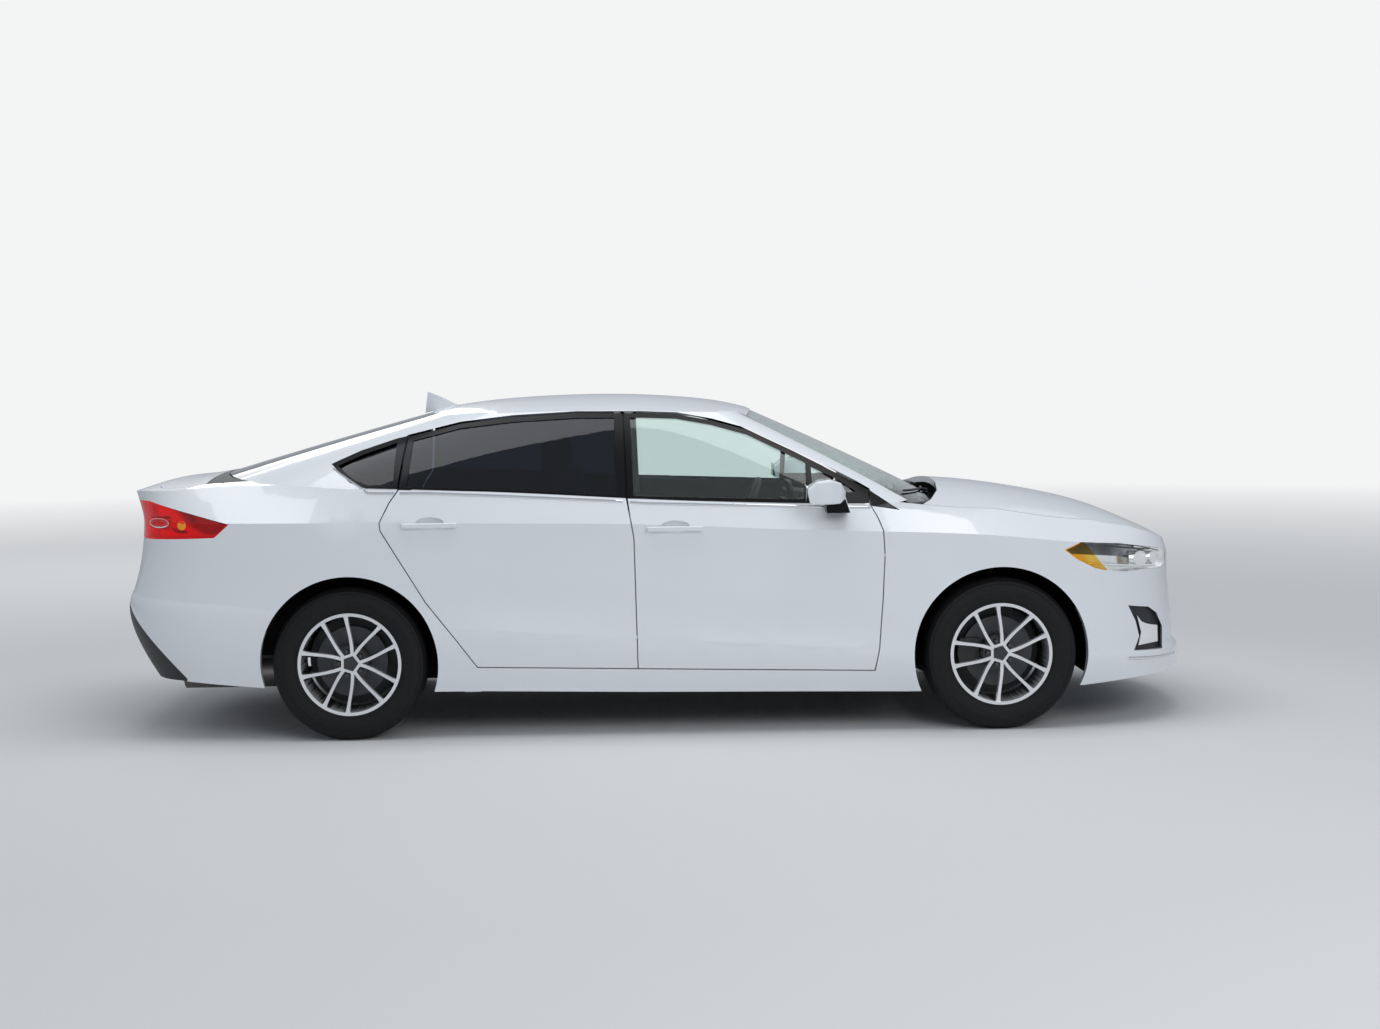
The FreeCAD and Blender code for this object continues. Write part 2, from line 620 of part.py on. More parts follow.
def build_side_frames():
    """Sill, pillars, roof rail and rear quarter of each side."""
    region = side_prism(((1045, 150), (1045, 1200), (-2436, 1200), (-2436, 150)))
    fender_zone = side_prism(fender_outline(0.0))
    low = BODY.common(region).cut([FRAME_IN, BELOW])
    low = low.cut([fender_zone.cut(SKIN_CLEAR), ARCH_REAR, REAR_BUMPER_PRISM,
                   fender_zone.cut(body_inside(fender_thickness + panel_gap)),
                   TAIL_LAMP_PRISM, TRUNK_OPENING, box(-3000, -2000, 0, 550 * ky, 0, 2000)])
    for outline in (FRONT_DOOR, REAR_DOOR):
        outer = side_prism(offset_outline(outline, panel_gap / 2), 300)
        inner = side_prism(offset_outline(outline, -door_inner_step + 8.0), 300)
        low = low.cut([outer.cut(SKIN_CLEAR), inner,
                       outer.common(box(-3000, 3000, 0, 1300, 985 * kz, 1600))])
    low = low.cut(box(-1120 * kx, 1045, 0, 1000, 985 * kz, 1300))
    low = solid_of(low)
    high = CABIN.common(LEFT).cut([CABIN_IN, BODY, WINDSHIELD_PRISM, BACKLIGHT_PRISM,
                                   ROOF_PRISM])
    for outline in (FRONT_DOOR, REAR_DOOR):
        high = high.cut(side_prism(offset_outline(outline, panel_gap / 2 + door_swing_room), 300))
    high = high.cut(side_prism(QUARTER_WINDOW, 300))
    high = solid_of(high)
    pillar_depth = door_frame_depth + 8.0
    pillar = cabin_side_inside(pillar_depth).common(side_prism(B_PILLAR, 300))
    pillar = pillar.cut(cabin_side_inside(pillar_depth + house_wall))
    for outline in (FRONT_DOOR, REAR_DOOR):
        door_body = side_prism(offset_outline(outline, -door_inner_step + 8.0), 300)
        pillar = pillar.cut(door_body.common(box(-3000, 3000, 0, 1300, 0, pillar_neck_top * kz)))
    pillar = solid_of(pillar)
    house = wheel_house(rear_axle_x, arch_radius, rear_house_inner_y, 470, skin_depth)
    house = house.cut([REAR_BUMPER_PRISM])
    pads = [box(x * kx - 35, x * kx + 35, (jack_y - 25) * ky, (jack_y + 25) * ky,
                z, floor_height) for x, z in JACK_PADS]
    frame = low.fuse([high, house, pillar] + pads + [hinge_leaf(n) for n in DOOR_HINGES])
    frame = solid_of(frame)
    pocket = fuel_pocket(panel_gap, fuel_pocket_depth)
    hinge_bore = cylinder_y(trunk_pin_radius + 0.3, trunk_hinge_x * kx, trunk_hinge_z * kz,
                            680 * ky, 712 * ky)
    frame = frame.cut(hinge_bore)
    export("side_frame_left", solid_of(frame.cut(pocket)))
    export("side_frame_right", flipped(frame))
    glass = cabin_inside(glass_setback).common(side_prism(QUARTER_WINDOW, 300))
    glass = solid_of(glass.cut(cabin_inside(glass_setback + glass_thickness)))
    export("quarter_windows", Part.Compound([glass, flipped(glass)]))
    fuel = BODY.common(fuel_pocket(0.0, 900)).cut(side_inside(fuel_door_thickness))
    fuel = solid_of(fuel.common(LEFT))
    pin = Part.makeCylinder(hinge_pin_radius, 60, V(FUEL_DOOR[1] * kx + 2.0, fuel_hinge_y * ky,
                                                    (FUEL_DOOR[2] + FUEL_DOOR[3]) / 2 * kz - 30))
    export("fuel_door", solid_of(fuel.fuse(pin)))


def fuel_pocket(grow, depth):
    x0, x1, z0, z1 = FUEL_DOOR
    prism = box(x0 * kx - grow, x1 * kx + grow, 300, 1200, z0 * kz - grow, z1 * kz + grow)
    if depth < 500:
        prism = prism.cut(side_inside(depth))
    return prism


def fender_outline(gap):
    """Fender outline in x and z: behind it is the door, below it the sill."""
    edge = [(x + gap, z) for x, z in FRONT_DOOR[:8]]
    edge[0] = (edge[0][0], 268)
    return tuple(edge) + ((906 + gap, 1200), (2700, 1200), (2700, 100), (1045, 100),
                          (1045, 268))


def build_fenders():
    zone = side_prism(fender_outline(panel_gap / 2))
    shell = BODY.common(zone).cut([body_inside(fender_thickness), BELOW, HOOD_OPENING,
                                   ARCH_FRONT, FRONT_BUMPER_PRISM, HEADLAMP_PRISM,
                                   box(800 * kx, 1160 * kx, 0, 736 * ky + panel_gap, 0, 1200), CABIN])
    skin = solid_of(shell)
    flange = arch_flange(front_axle_x, front_house_radius, bumper_thickness + 4)
    flange = flange.cut(FRONT_BUMPER_PRISM)
    house = wheel_house(front_axle_x, front_house_radius, front_house_inner_y, 480,
                        bumper_thickness + 1)
    house = house.cut(FRONT_BUMPER_PRISM.cut(body_inside(bumper_thickness + 1)))
    apron = box(1052, 2050 * kx, front_house_inner_y - arch_liner, front_house_inner_y, 480,
                815 * kz)
    apron = apron.cut(cylinder_y(front_house_radius, front_axle_x, arch_centre_height, 0, 1000))
    fender = skin.fuse([solid_of(flange), solid_of(house), apron])
    sides("fender", solid_of(fender))


def build_lids():
    under = BODY.translated(V(0, 0, -lid_thickness))
    hood = solid_of(BODY.common(plan_prism(HOOD_EDGE)).cut(under))
    arm_y = hood_arm_y * ky
    arms = []
    for side in (-1, 1):
        y0 = side * arm_y - 7
        arm = box(hood_hinge_x * kx - 12, 1175 * kx, y0, y0 + 14, hood_hinge_z * kz - 10,
                  hood_hinge_z * kz + 12)
        arm = arm.fuse(box(1150 * kx, 1175 * kx, y0, y0 + 14, hood_hinge_z * kz - 10,
                           960 * kz))
        pin = cylinder_y(hinge_pin_radius * 3, hood_hinge_x * kx, hood_hinge_z * kz,
                         min(side * arm_y, side * (arm_y + 20)),
                         max(side * arm_y, side * (arm_y + 20)))
        arms += [arm, pin]
    export("hood", solid_of(hood.fuse(arms)))
    inside = body_inside(lid_thickness)
    lid = BODY.common(plan_prism(TRUNK_EDGE, 0.0, trunk_lid_bottom_z * kz)).cut(inside)
    y0, y1, z0, z1 = PLATE_RECESS
    recess = box(-2600 * kx, -2200 * kx, y0 * ky, y1 * ky, z0 * kz, z1 * kz)
    lip = box(trunk_lip_x * kx, -1900 * kx, -1000, 1000, 900, 1300)
    lip = lip.common(BODY.translated(V(0, 0, -trunk_lip_thickness)))
    lid = solid_of(lid.cut([recess.cut(body_inside(plate_recess_depth)), lip]))
    pins = [cylinder_y(trunk_pin_radius, trunk_hinge_x * kx, trunk_hinge_z * kz, y0, y0 + 24)
            for y0 in (682 * ky, -682 * ky - 24)]
    export("trunk_lid", solid_of(lid.fuse(pins)))


def build_roof():
    roof = CABIN.common(ROOF_PRISM).cut(CABIN.translated(V(0, 0, -roof_thickness)))
    export("roof_panel", solid_of(roof))
    outer = cabin_inside(4.0)
    inner = cabin_inside(4.0 + glass_thickness)
    for name, prism in (("windshield", WINDSHIELD_PRISM), ("rear_window", BACKLIGHT_PRISM)):
        glass = outer.common(prism).cut(inner.common(prism))
        glass = glass.cut(ROOF_PRISM)
        export(name, solid_of(glass))
    fin = Part.makePolygon([V(x * kx, 0, z * kz) for x, z in
                            ((-960, 1440), (-1040, 1480), (-1098, 1503), (-1112, 1400),
                             (-1000, 1400), (-960, 1440))])
    fin = Part.Face(fin).extrude(V(0, 16, 0)).translated(V(0, -8, 0)).cut(CABIN)
    export("antenna_fin", solid_of(fin))


def build_bumpers_and_lamps():
    inside = body_inside(bumper_thickness)
    whole = BODY.cut([inside, BELOW])
    front_zone = FRONT_BUMPER_PRISM.fuse(flipped(FRONT_BUMPER_PRISM))
    front = whole.common(front_zone)
    lamps = [HEADLAMP_PRISM, flipped(HEADLAMP_PRISM)]
    vent = side_prism(BUMPER_VENT, vent_inner_y * ky)
    openings = [front_prism(outline, 0.0, 1900 * kx, 2700 * kx) for outline, bars in GRILLES]
    front = front.cut([HOOD_OPENING, ARCH_FRONT, flipped(ARCH_FRONT), vent, flipped(vent)]
                      + lamps + openings)
    export("front_bumper", solid_of(front))
    backing_out = body_inside(16)
    backing_in = body_inside(30)
    layer = backing_out.cut([backing_in, HOOD_OPENING] + lamps)
    parts = []
    for (outline, bars), opening in zip(GRILLES, openings):
        y = max(corner[0] for corner in outline)
        z0 = min(corner[1] for corner in outline)
        z1 = max(corner[1] for corner in outline)
        pitch = (z1 - z0) * kz / bars
        slats = [box(1900 * kx, 2600 * kx, -y * ky, y * ky, z0 * kz + pitch * (i + 0.3),
                     z0 * kz + pitch * (i + 0.7)) for i in range(bars)]
        posts = [box(1900 * kx, 2600 * kx, y_post - 5, y_post + 5, z0 * kz, z1 * kz)
                 for y_post in (-grille_post_share * y * ky, 0.0, grille_post_share * y * ky)]
        grid = slats[0].fuse(slats[1:] + posts)
        parts.append(layer.common(grid).common(opening))
    for prism in (vent, flipped(vent)):
        parts.append(layer.common(prism))
    export("grille", Part.Compound([s for p in parts for s in p.Solids]))
    build_lamps("headlamp", HEADLAMP, headlamp_inner_y, [HOOD_OPENING], HEADLAMP_BARRELS)
    build_lamps("tail_lamp", TAIL_LAMP, tail_lamp_inner_y, [TRUNK_OPENING], TAIL_LAMP_BARRELS)
    rear_zone = REAR_BUMPER_PRISM.fuse(flipped(REAR_BUMPER_PRISM))
    rear = whole.common(rear_zone).cut([ARCH_REAR, flipped(ARCH_REAR)])
    export("rear_bumper", solid_of(rear))
    panel = BODY.common(box(-2500 * kx, -1900 * kx, -550 * ky, 550 * ky, 600 * kz, 1200 * kz))
    panel = panel.cut([body_inside(frame_depth), rear_zone, TRUNK_OPENING])
    export("rear_panel", solid_of(panel))


def build_lamps(name, outline, inner_y, opening, barrels):
    """Both lamps of a kind: a thin lens and, behind it, a tray with round barrels."""
    region = side_prism(outline, inner_y * ky).cut(opening)
    lens_in = body_inside(lens_thickness)
    lens = solid_of(BODY.common(region).cut(lens_in))
    tray_front = body_inside(lens_thickness + 0.3)
    tray = tray_front.common(region).cut(body_inside(headlamp_depth))
    hollow_region = side_prism(offset_outline(outline, -lamp_wall), (inner_y + lamp_wall) * ky)
    hollow = hollow_region.cut(body_inside(headlamp_depth - lamp_wall))
    hollow = hollow.cut([Part.makeCylinder(r, 400, V(x * kx, y * ky, z * kz), X_AXIS)
                         for x, y, z, r in barrels])
    limit = body_inside(lens_thickness + 10)
    tray = tray.cut(hollow).cut(hollow_region.cut(limit))
    tray = solid_of(tray)
    export(name + "s", Part.Compound([tray, flipped(tray)]))
    export(name + "_lenses", Part.Compound([lens, flipped(lens)]))


def build_floor():
    inner_y = side_inner_y
    floor = box(rear_seat_x * kx, 1052, -inner_y, inner_y, floor_height,
                floor_height + floor_thickness)
    floor = solid_of(floor.common(side_inside(frame_depth + 0.5)))
    house_y = rear_house_inner_y - arch_liner - 0.3
    floor = solid_of(floor.cut([cylinder_y(arch_radius + arch_liner + 0.3, rear_axle_x,
                                           arch_centre_height, y0, y0 + 500)
                                for y0 in (house_y, -house_y - 500)]))
    tunnel = box(tunnel_end_x, 1052, -110, 110, floor_height, floor_height + 110)
    hollow = box(tunnel_end_x + 20, 1100, -96, 96, floor_height - 10, floor_height + 96)
    riser = box(rear_seat_x * kx - 14, rear_seat_x * kx, -rear_house_inner_y + arch_liner,
                rear_house_inner_y - arch_liner, floor_height, trunk_floor_z)
    trunk = box(-2330 * kx, rear_seat_x * kx, -rear_house_inner_y + arch_liner,
                rear_house_inner_y - arch_liner, trunk_floor_z - floor_thickness, trunk_floor_z)
    trunk = solid_of(trunk.common(side_inside(bumper_thickness + 8)))
    export("floor_pan", solid_of(joined(floor, tunnel, riser, trunk).cut(hollow)))
    wall = box(1040, 1052, -736 * ky, 736 * ky, floor_height + floor_thickness, 950 * kz)
    wall = wall.cut(box(1000, 1100, -110, 110, 0, floor_height + 110))
    cowl = BODY.translated(V(0, 0, -cowl_drop)).cut(BODY.translated(V(0, 0, -cowl_drop - 8)))
    cowl_zone = box(1045, 1330 * kx, -685 * ky, 685 * ky, 850, 1100)
    cowl = cowl.common(cowl_zone).cut(cabin_side_inside(8))
    riser = CABIN_FORM.common(box(1045, 1330 * kx, -685 * ky, 685 * ky, 870 * kz, 983 * kz))
    riser = riser.cut(cabin_side_inside(8))
    shelf = box(1040, 1300 * kx, -685 * ky, 685 * ky, 938 * kz, 950 * kz)
    shelf = shelf.common(cabin_side_inside(4))
    brackets = []
    for side in (-1, 1):
        y0 = side * (hood_arm_y * ky + 16) - 6
        bracket = box(1052, hood_hinge_x * kx + 18, y0, y0 + 12, 900, hood_hinge_z * kz + 16)
        brackets.append(bracket.cut(cylinder_y(hinge_pin_radius * 3 + 0.3, hood_hinge_x * kx,
                                               hood_hinge_z * kz, y0 - 5, y0 + 20)))
    firewall = wall.fuse([shelf, riser, cowl] + brackets)
    export("firewall", solid_of(firewall))
    shelf = box(-1960 * kx, -1330 * kx, -690 * ky, 690 * ky, 1040 * kz, 1052 * kz)
    shelf = solid_of(shelf.common(cabin_side_inside(house_wall + 0.5)))
    strip = BODY.common(box(-2060 * kx, -1750 * kx, -686 * ky, 686 * ky, 1000 * kz, 1300 * kz))
    strip = strip.common(side_inside(frame_depth + 0.5))
    strip = strip.cut(BODY.translated(V(0, 0, -12))).cut([plan_prism(TRUNK_EDGE, panel_gap + 3.0),
                                                          CABIN])
    export("parcel_shelf", Part.Compound([shelf.cut(TRUNK_OPENING)] + strip.Solids))


def extruded_profile(points, y0, y1):
    corners = [V(x, y0, z) for x, z in points]
    return Part.Face(Part.makePolygon(corners + corners[:1])).extrude(V(0, y1 - y0, 0))


def build_interior():
    dash = extruded_profile(((1040, 950), (700, 968), (620, 935), (605, 820), (690, 640),
                             (1040, 560)), -735, 735)
    column_start = V(steering_x, steering_y, steering_z) - STEERING_AXIS * 8.3
    column = Part.makeCylinder(32, 280, column_start, -STEERING_AXIS)
    console = box(-260, 1040, -105, 105, floor_height + 110, 520)
    export("dashboard", solid_of(dash.fuse([column, console])))
    section = [V(steering_ring_radius + 15 * math.cos(math.radians(a)), 0,
                 15 * math.sin(math.radians(a))) for a in range(0, 360, 36)]
    ring = Part.Face(Part.makePolygon(section + section[:1])).revolve(ORIGIN, Z_AXIS, 360)
    hub = Part.makeCylinder(62, 34, V(0, 0, -8))
    arms = []
    for angle in (0, 180, 270):
        arm = Part.makeBox(steering_ring_radius - 40, 42, 12, V(40, -21, 0))
        arm.rotate(ORIGIN, Z_AXIS, angle)
        arms.append(arm)
    wheel = ring.fuse([hub] + arms)
    wheel.rotate(ORIGIN, Z_AXIS, 90)
    tilt = FreeCAD.Rotation(Z_AXIS, STEERING_AXIS)
    wheel.Placement = FreeCAD.Placement(V(steering_x, steering_y, steering_z), tilt).multiply(
        wheel.Placement)
    export("steering_wheel", solid_of(wheel))
    cushion = ((250, 330), (262, 420), (230, 500), (-260, 470), (-300, 330))
    back = ((-300, 400), (-520, 1060), (-500, 1100), (-410, 1100), (-380, 1060), (-190, 470))
    head = ((-545, 1130), (-545, 1270), (-500, 1290), (-440, 1270), (-430, 1140))
    seats = []
    for y in (-1, 1):
        mid = y * seat_y
        base = box(-220, 180, mid - 200, mid + 200, floor_height + floor_thickness, 332)
        seat = extruded_profile(cushion, mid - 260, mid + 260)
        rest = extruded_profile(back, mid - 250, mid + 250)
        top = extruded_profile(head, mid - 130, mid + 130)
        posts = [Part.makeCylinder(7, 60, V(-480, mid + p, 1085)) for p in (-60, 60)]
        seats.append(solid_of(seat.fuse([base, rest, top] + posts)))
    export("front_seats", Part.Compound(seats))
    bench_y = rear_house_inner_y - arch_liner - 8
    bench = extruded_profile(((-640, trunk_floor_z - 60), (-630, 430), (-680, 490),
                              (-1180, 450), (-1180, trunk_floor_z + 0.5),
                              (-985, trunk_floor_z + 0.5), (-985, trunk_floor_z - 60)),
                             -bench_y, bench_y)
    rest = extruded_profile(((-1120, 440), (-1290, 1000), (-1330, 1035), (-1400, 1035),
                             (-1400, 960), (-1250, 400), (-1180, trunk_floor_z + 1)),
                            -bench_y, bench_y)
    legs = box(-900, -660, -bench_y, bench_y, floor_height + floor_thickness, 360)
    heads = [extruded_profile(((-1330, 1036), (-1340, 1130), (-1400, 1130), (-1400, 1036)),
                              y - 120, y + 120) for y in (-380, 380)]
    export("rear_seat", solid_of(bench.fuse([rest, legs] + heads)))


def build_running_gear():
    engine = box(1230, 1840, -330, 330, 262, 800)
    export("engine_block", engine)
    beam = box(1330, 1610, -400, 400, 195, 262)
    rails = [box(1052, 2245 * kx, y - 35, y + 35, 380, 470) for y in (-405, 405)]
    posts = [box(1380, 1560, y - 35, y + 35, 195, 400) for y in (-405, 405)]
    cross = box(2195 * kx, 2245 * kx, -405, 405, 380, 640 * kz)
    arms = []
    for side in (-1, 1):
        points = [V(1350, side * 400, 205), V(front_axle_x - 24, side * 715, 205),
                  V(front_axle_x + 24, side * 715, 205), V(1590, side * 400, 205)]
        arms.append(Part.Face(Part.makePolygon(points + points[:1])).extrude(V(0, 0, 10.6)))
    front = beam.fuse(rails + posts + [cross] + arms)
    export("front_subframe", solid_of(front))
    beam = box(rear_axle_x - 130, rear_axle_x + 130, -540, 540, 215, 275)
    parts = [box(rear_axle_x - 40, rear_axle_x + 40, y - 40, y + 40, 270,
                 trunk_floor_z - floor_thickness) for y in (-500, 500)]
    for side in (-1, 1):
        y0, y1 = sorted((side * 530, side * 655))
        parts.append(box(rear_axle_x - 30, rear_axle_x + 30, y0, y1, 228, 262))
        y0, y1 = sorted((side * 640, side * knuckle_outer_y_rear))
        parts.append(cylinder_y(46, rear_axle_x, tyre_radius, y0, y1))
        y0, y1 = sorted((side * 630, side * 662))
        parts.append(box(rear_axle_x - 30, rear_axle_x + 30, y0, y1, 230, 340))
    export("rear_subframe", solid_of(beam.fuse(parts)))
    pipe = Part.makeCylinder(27, 3000, V(-1750, -60, 184), X_AXIS)
    muffler = Part.makeCylinder(85, 500, V(-2200, -330, 0), X_AXIS)
    muffler = muffler.translated(V(0, 0, trunk_floor_z - floor_thickness - 86))
    link = box(-1760, -1700, -330, -40, 168, 200)
    hangers = [box(x - 8, x + 8, -75, -45, 200, floor_height) for x in (-600, 200)]
    export("exhaust", solid_of(pipe.fuse(hangers + [muffler, link])))


def wheel_profile(points):
    """Solid made by turning round the wheel's axle; points are radius, outward place."""
    corners = [V(r, y, 0) for r, y in points]
    face = Part.Face(Part.makePolygon(corners + corners[:1]))
    return face.revolve(ORIGIN, Y_AXIS, 360)


def tyre():
    bead = rim_width / 2 - 8.3
    half = tyre_width / 2
    outer_half = ((rim_radius + 0.3, bead), (rim_radius + 60, half), (tyre_radius - 14, half - 9),
                  (tyre_radius, half - 38))
    inner_half = tuple((r, -y) for r, y in reversed(outer_half))
    return wheel_profile(outer_half + inner_half)


def spoke(side):
    """One of the two spokes that part at a corner of the hub, as a prism along the axle."""
    lines = []
    for edge in (-1, 1):
        points = [V(u, 0, side * v + edge * w) for u, v, w in SPOKE]
        lines.append(smooth(points, chord_params(points)).toShape())
    ends = [Part.makeLine(lines[0].valueAt(lines[0].LastParameter),
                          lines[1].valueAt(lines[1].LastParameter)),
            Part.makeLine(lines[1].valueAt(lines[1].FirstParameter),
                          lines[0].valueAt(lines[0].FirstParameter))]
    outline = Part.Wire([lines[0], ends[0], lines[1], ends[1]])
    return Part.Face(outline).extrude(V(0, 120, 0))


def turned(shape, angle):
    copy = shape.copy()
    copy.rotate(ORIGIN, Y_AXIS, angle)
    return copy


def wheel():
    """Alloy wheel with its brake disc: barrel, five-cornered hub and paired spokes."""
    h = rim_width / 2
    flange = rim_radius + 10
    barrel = wheel_profile(((rim_radius - 8, -h - 2), (flange, -h - 2), (flange, -h + 3),
                            (rim_radius, -h + 8), (rim_radius, h - 8), (flange, h - 3),
                            (flange, h + 2), (rim_radius - 8, h + 2)))
    dish = wheel_profile(SPOKE_FACE)
    step = 360.0 / spoke_pairs
    spokes = [turned(spoke(side), step * i) for i in range(spoke_pairs) for side in (-1, 1)]
    corners = [V(hub_corner_radius * math.cos(math.radians(step * i)), 0,
                 hub_corner_radius * math.sin(math.radians(step * i)))
               for i in range(spoke_pairs)]
    core = Part.Face(Part.makePolygon(corners + corners[:1])).extrude(V(0, 120, 0))
    face = dish.common(spokes[0].fuse(spokes[1:] + [core]))
    bolt_plate = wheel_profile(((0, hub_back_y), (hub_plate_radius, hub_back_y),
                                (hub_plate_radius, hub_back_y + 16), (0, hub_back_y + 16)))
    bolt_holes = [turned(cylinder_y(bolt_hole_radius, bolt_circle / 2, 0, 0, 120),
                         step * (i + 0.5)) for i in range(spoke_pairs)]
    disc = wheel_profile(((0, disc_y - 12), (disc_radius, disc_y - 12),
                          (disc_radius, disc_y + 12), (80, disc_y + 12),
                          (80, hub_back_y + 1), (0, hub_back_y + 1)))
    face = face.fuse(bolt_plate).cut(bolt_holes)
    return solid_of(barrel.fuse([face, disc]))


def placed_wheel(shape, x, y):
    """The shape on a wheel's axle; outward is away from the car's middle."""
    moved = shape.copy() if y > 0 else flipped(shape)
    return moved.translated(V(x, y, tyre_radius))


def build_wheels():
    rim = wheel()
    rubber = tyre()
    for name, x, track in (("front", front_axle_x, track_front), ("rear", rear_axle_x, track_rear)):
        for side, y in (("left", track / 2), ("right", -track / 2)):
            export("wheel_%s_%s" % (name, side), placed_wheel(rim, x, y))
            export("tyre_%s_%s" % (name, side), placed_wheel(rubber, x, y))
    low = V(front_axle_x, kingpin_low_y, kingpin_low_z)
    high = V(front_axle_x, kingpin_high_y, kingpin_high_z)
    axis = high - low
    strut = Part.makeCylinder(20, axis.Length, low, axis)
    wheel_y = track_front / 2
    carrier = cylinder_y(48, front_axle_x, tyre_radius, 668, wheel_y + disc_y - 12.3)
    caliper = cylinder_y(178, front_axle_x, tyre_radius, wheel_y + disc_y - 40,
                         wheel_y + disc_y + 34)
    caliper = caliper.cut([cylinder_y(100, front_axle_x, tyre_radius, 600, 1000),
                           cylinder_y(disc_radius + 5, front_axle_x, tyre_radius,
                                      wheel_y + disc_y - 17, wheel_y + disc_y + 17)])
    wedge = box(front_axle_x - 200, front_axle_x - 60, 600, 1000, tyre_radius - 60,
                tyre_radius + 60)
    bridge = box(front_axle_x - 120, front_axle_x, wheel_y + disc_y - 40, wheel_y + disc_y - 20,
                 tyre_radius - 30, tyre_radius + 30)
    caliper = solid_of(caliper.common(wedge))
    sides("knuckle_front", solid_of(strut.fuse([carrier, caliper, bridge])))


def build_mirrors():
    """Mirror housings on their feet: rounded in side view and swept back in plan."""
    side = extruded_profile(MIRROR_SIDE, mirror_y - 40, mirror_y + 200)
    plan = Part.makePolygon([V(x, y, 0) for x, y in MIRROR_PLAN + MIRROR_PLAN[:1]])
    cap = side.common(Part.Face(plan).extrude(V(0, 0, 1300)))
    rim = [e for e in cap.Edges if e.BoundBox.XMin > MIRROR_PLAN[0][0] + 1]
    cap = cap.makeFillet(mirror_edge_radius, rim)
    x_glass = MIRROR_PLAN[0][0]
    cap = cap.cut(box(x_glass - 5, x_glass + 8, mirror_y + 12, mirror_y + 122, 1026, 1096))
    foot = extruded_profile(((690, 1040), (780, 1040), (800, 970), (700, 970)), 700,
                            mirror_y + 40)
    foot = solid_of(foot.cut([BODY, CABIN_FORM])).translated(V(0, 0.3, 0))
    sides("mirror", solid_of(cap.fuse(foot)))


def windshield_x(y, z):
    """How far forward the windshield's face lies at a place."""
    ray = Part.makeLine(V(600, y, z), V(1500, y, z)).common(CABIN_FORM)
    return max(v.Point.x for v in ray.Vertexes)


def build_wipers():
    """Blades on the foot of the windshield and the arms that carry them."""
    blades = []
    for tip_y, heel_y, pivot_y in WIPERS:
        points = []
        for share in (0.0, 0.25, 0.5, 0.75, 1.0):
            y = tip_y + (heel_y - tip_y) * share
            z = wiper_tip_z - (wiper_tip_z - wiper_heel_z) * share
            points.append(V(windshield_x(y * ky, z * kz) + wiper_lift, y * ky, z * kz))
        line = smooth(points, chord_params(points)).toShape()
        section = Part.Wire(Part.makeCircle(wiper_radius, points[0], line.tangentAt(0)))
        blade = Part.Wire([line]).makePipeShell([section], True, False)
        foot_x = windshield_x(pivot_y * ky, WINDSHIELD_EDGE[0][1] * kz)
        pivot = V(foot_x + wiper_boss_radius, pivot_y * ky, wiper_heel_z * kz - 32)
        bend = (pivot + points[2]) * 0.5
        bend.x = windshield_x(bend.y, bend.z) + wiper_lift + wiper_radius
        path = smooth([pivot, bend, points[2]], chord_params([pivot, bend, points[2]])).toShape()
        section = Part.Wire(Part.makeCircle(wiper_radius * 0.9, pivot, path.tangentAt(0)))
        arm = Part.Wire([path]).makePipeShell([section], True, False)
        boss = Part.makeCylinder(wiper_boss_radius, wiper_boss_drop + 12,
                                 pivot - V(0, 0, wiper_boss_drop))
        blades.append(solid_of(blade.fuse([arm, boss])))
    export("wipers", Part.Compound(blades))


for build in (build_doors, build_side_frames, build_fenders, build_lids, build_roof,
              build_bumpers_and_lamps, build_floor, build_interior, build_running_gear,
              build_wheels, build_mirrors, build_wipers):
    build()
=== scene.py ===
"""The sedan's finishes, small pieces, studio and camera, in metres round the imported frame."""

import json
import math

import bpy
from mathutils import Matrix, Vector
from mathutils.bvhtree import BVHTree


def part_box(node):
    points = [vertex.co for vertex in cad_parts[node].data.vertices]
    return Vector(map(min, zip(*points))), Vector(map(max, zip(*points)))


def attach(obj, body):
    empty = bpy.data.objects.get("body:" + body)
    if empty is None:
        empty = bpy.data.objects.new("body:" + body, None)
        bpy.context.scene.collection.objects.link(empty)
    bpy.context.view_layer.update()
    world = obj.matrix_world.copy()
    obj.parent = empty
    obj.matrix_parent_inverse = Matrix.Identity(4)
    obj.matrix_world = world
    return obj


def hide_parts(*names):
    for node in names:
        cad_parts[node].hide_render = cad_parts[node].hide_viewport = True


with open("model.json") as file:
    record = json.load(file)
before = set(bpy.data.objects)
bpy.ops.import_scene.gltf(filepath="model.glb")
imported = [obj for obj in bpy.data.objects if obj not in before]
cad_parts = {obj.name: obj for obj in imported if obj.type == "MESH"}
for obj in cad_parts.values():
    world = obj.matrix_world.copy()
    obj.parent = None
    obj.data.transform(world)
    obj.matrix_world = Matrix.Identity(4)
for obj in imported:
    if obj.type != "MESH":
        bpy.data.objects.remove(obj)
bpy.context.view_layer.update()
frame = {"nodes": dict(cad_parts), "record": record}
bpy.ops.object.select_all(action="DESELECT")
scene = bpy.context.scene
NODES = frame["nodes"]
BODY_OF = {node: body for body, nodes in frame["record"]["behaviour"]["bodies"].items()
           for node in nodes}
SLOT_OF = {row["node"]: row["material_slot"] for row in frame["record"]["subparts"]}
SIDES = (("left", 1), ("right", -1))
ENDS = ("front", "rear")

# ---- Materials


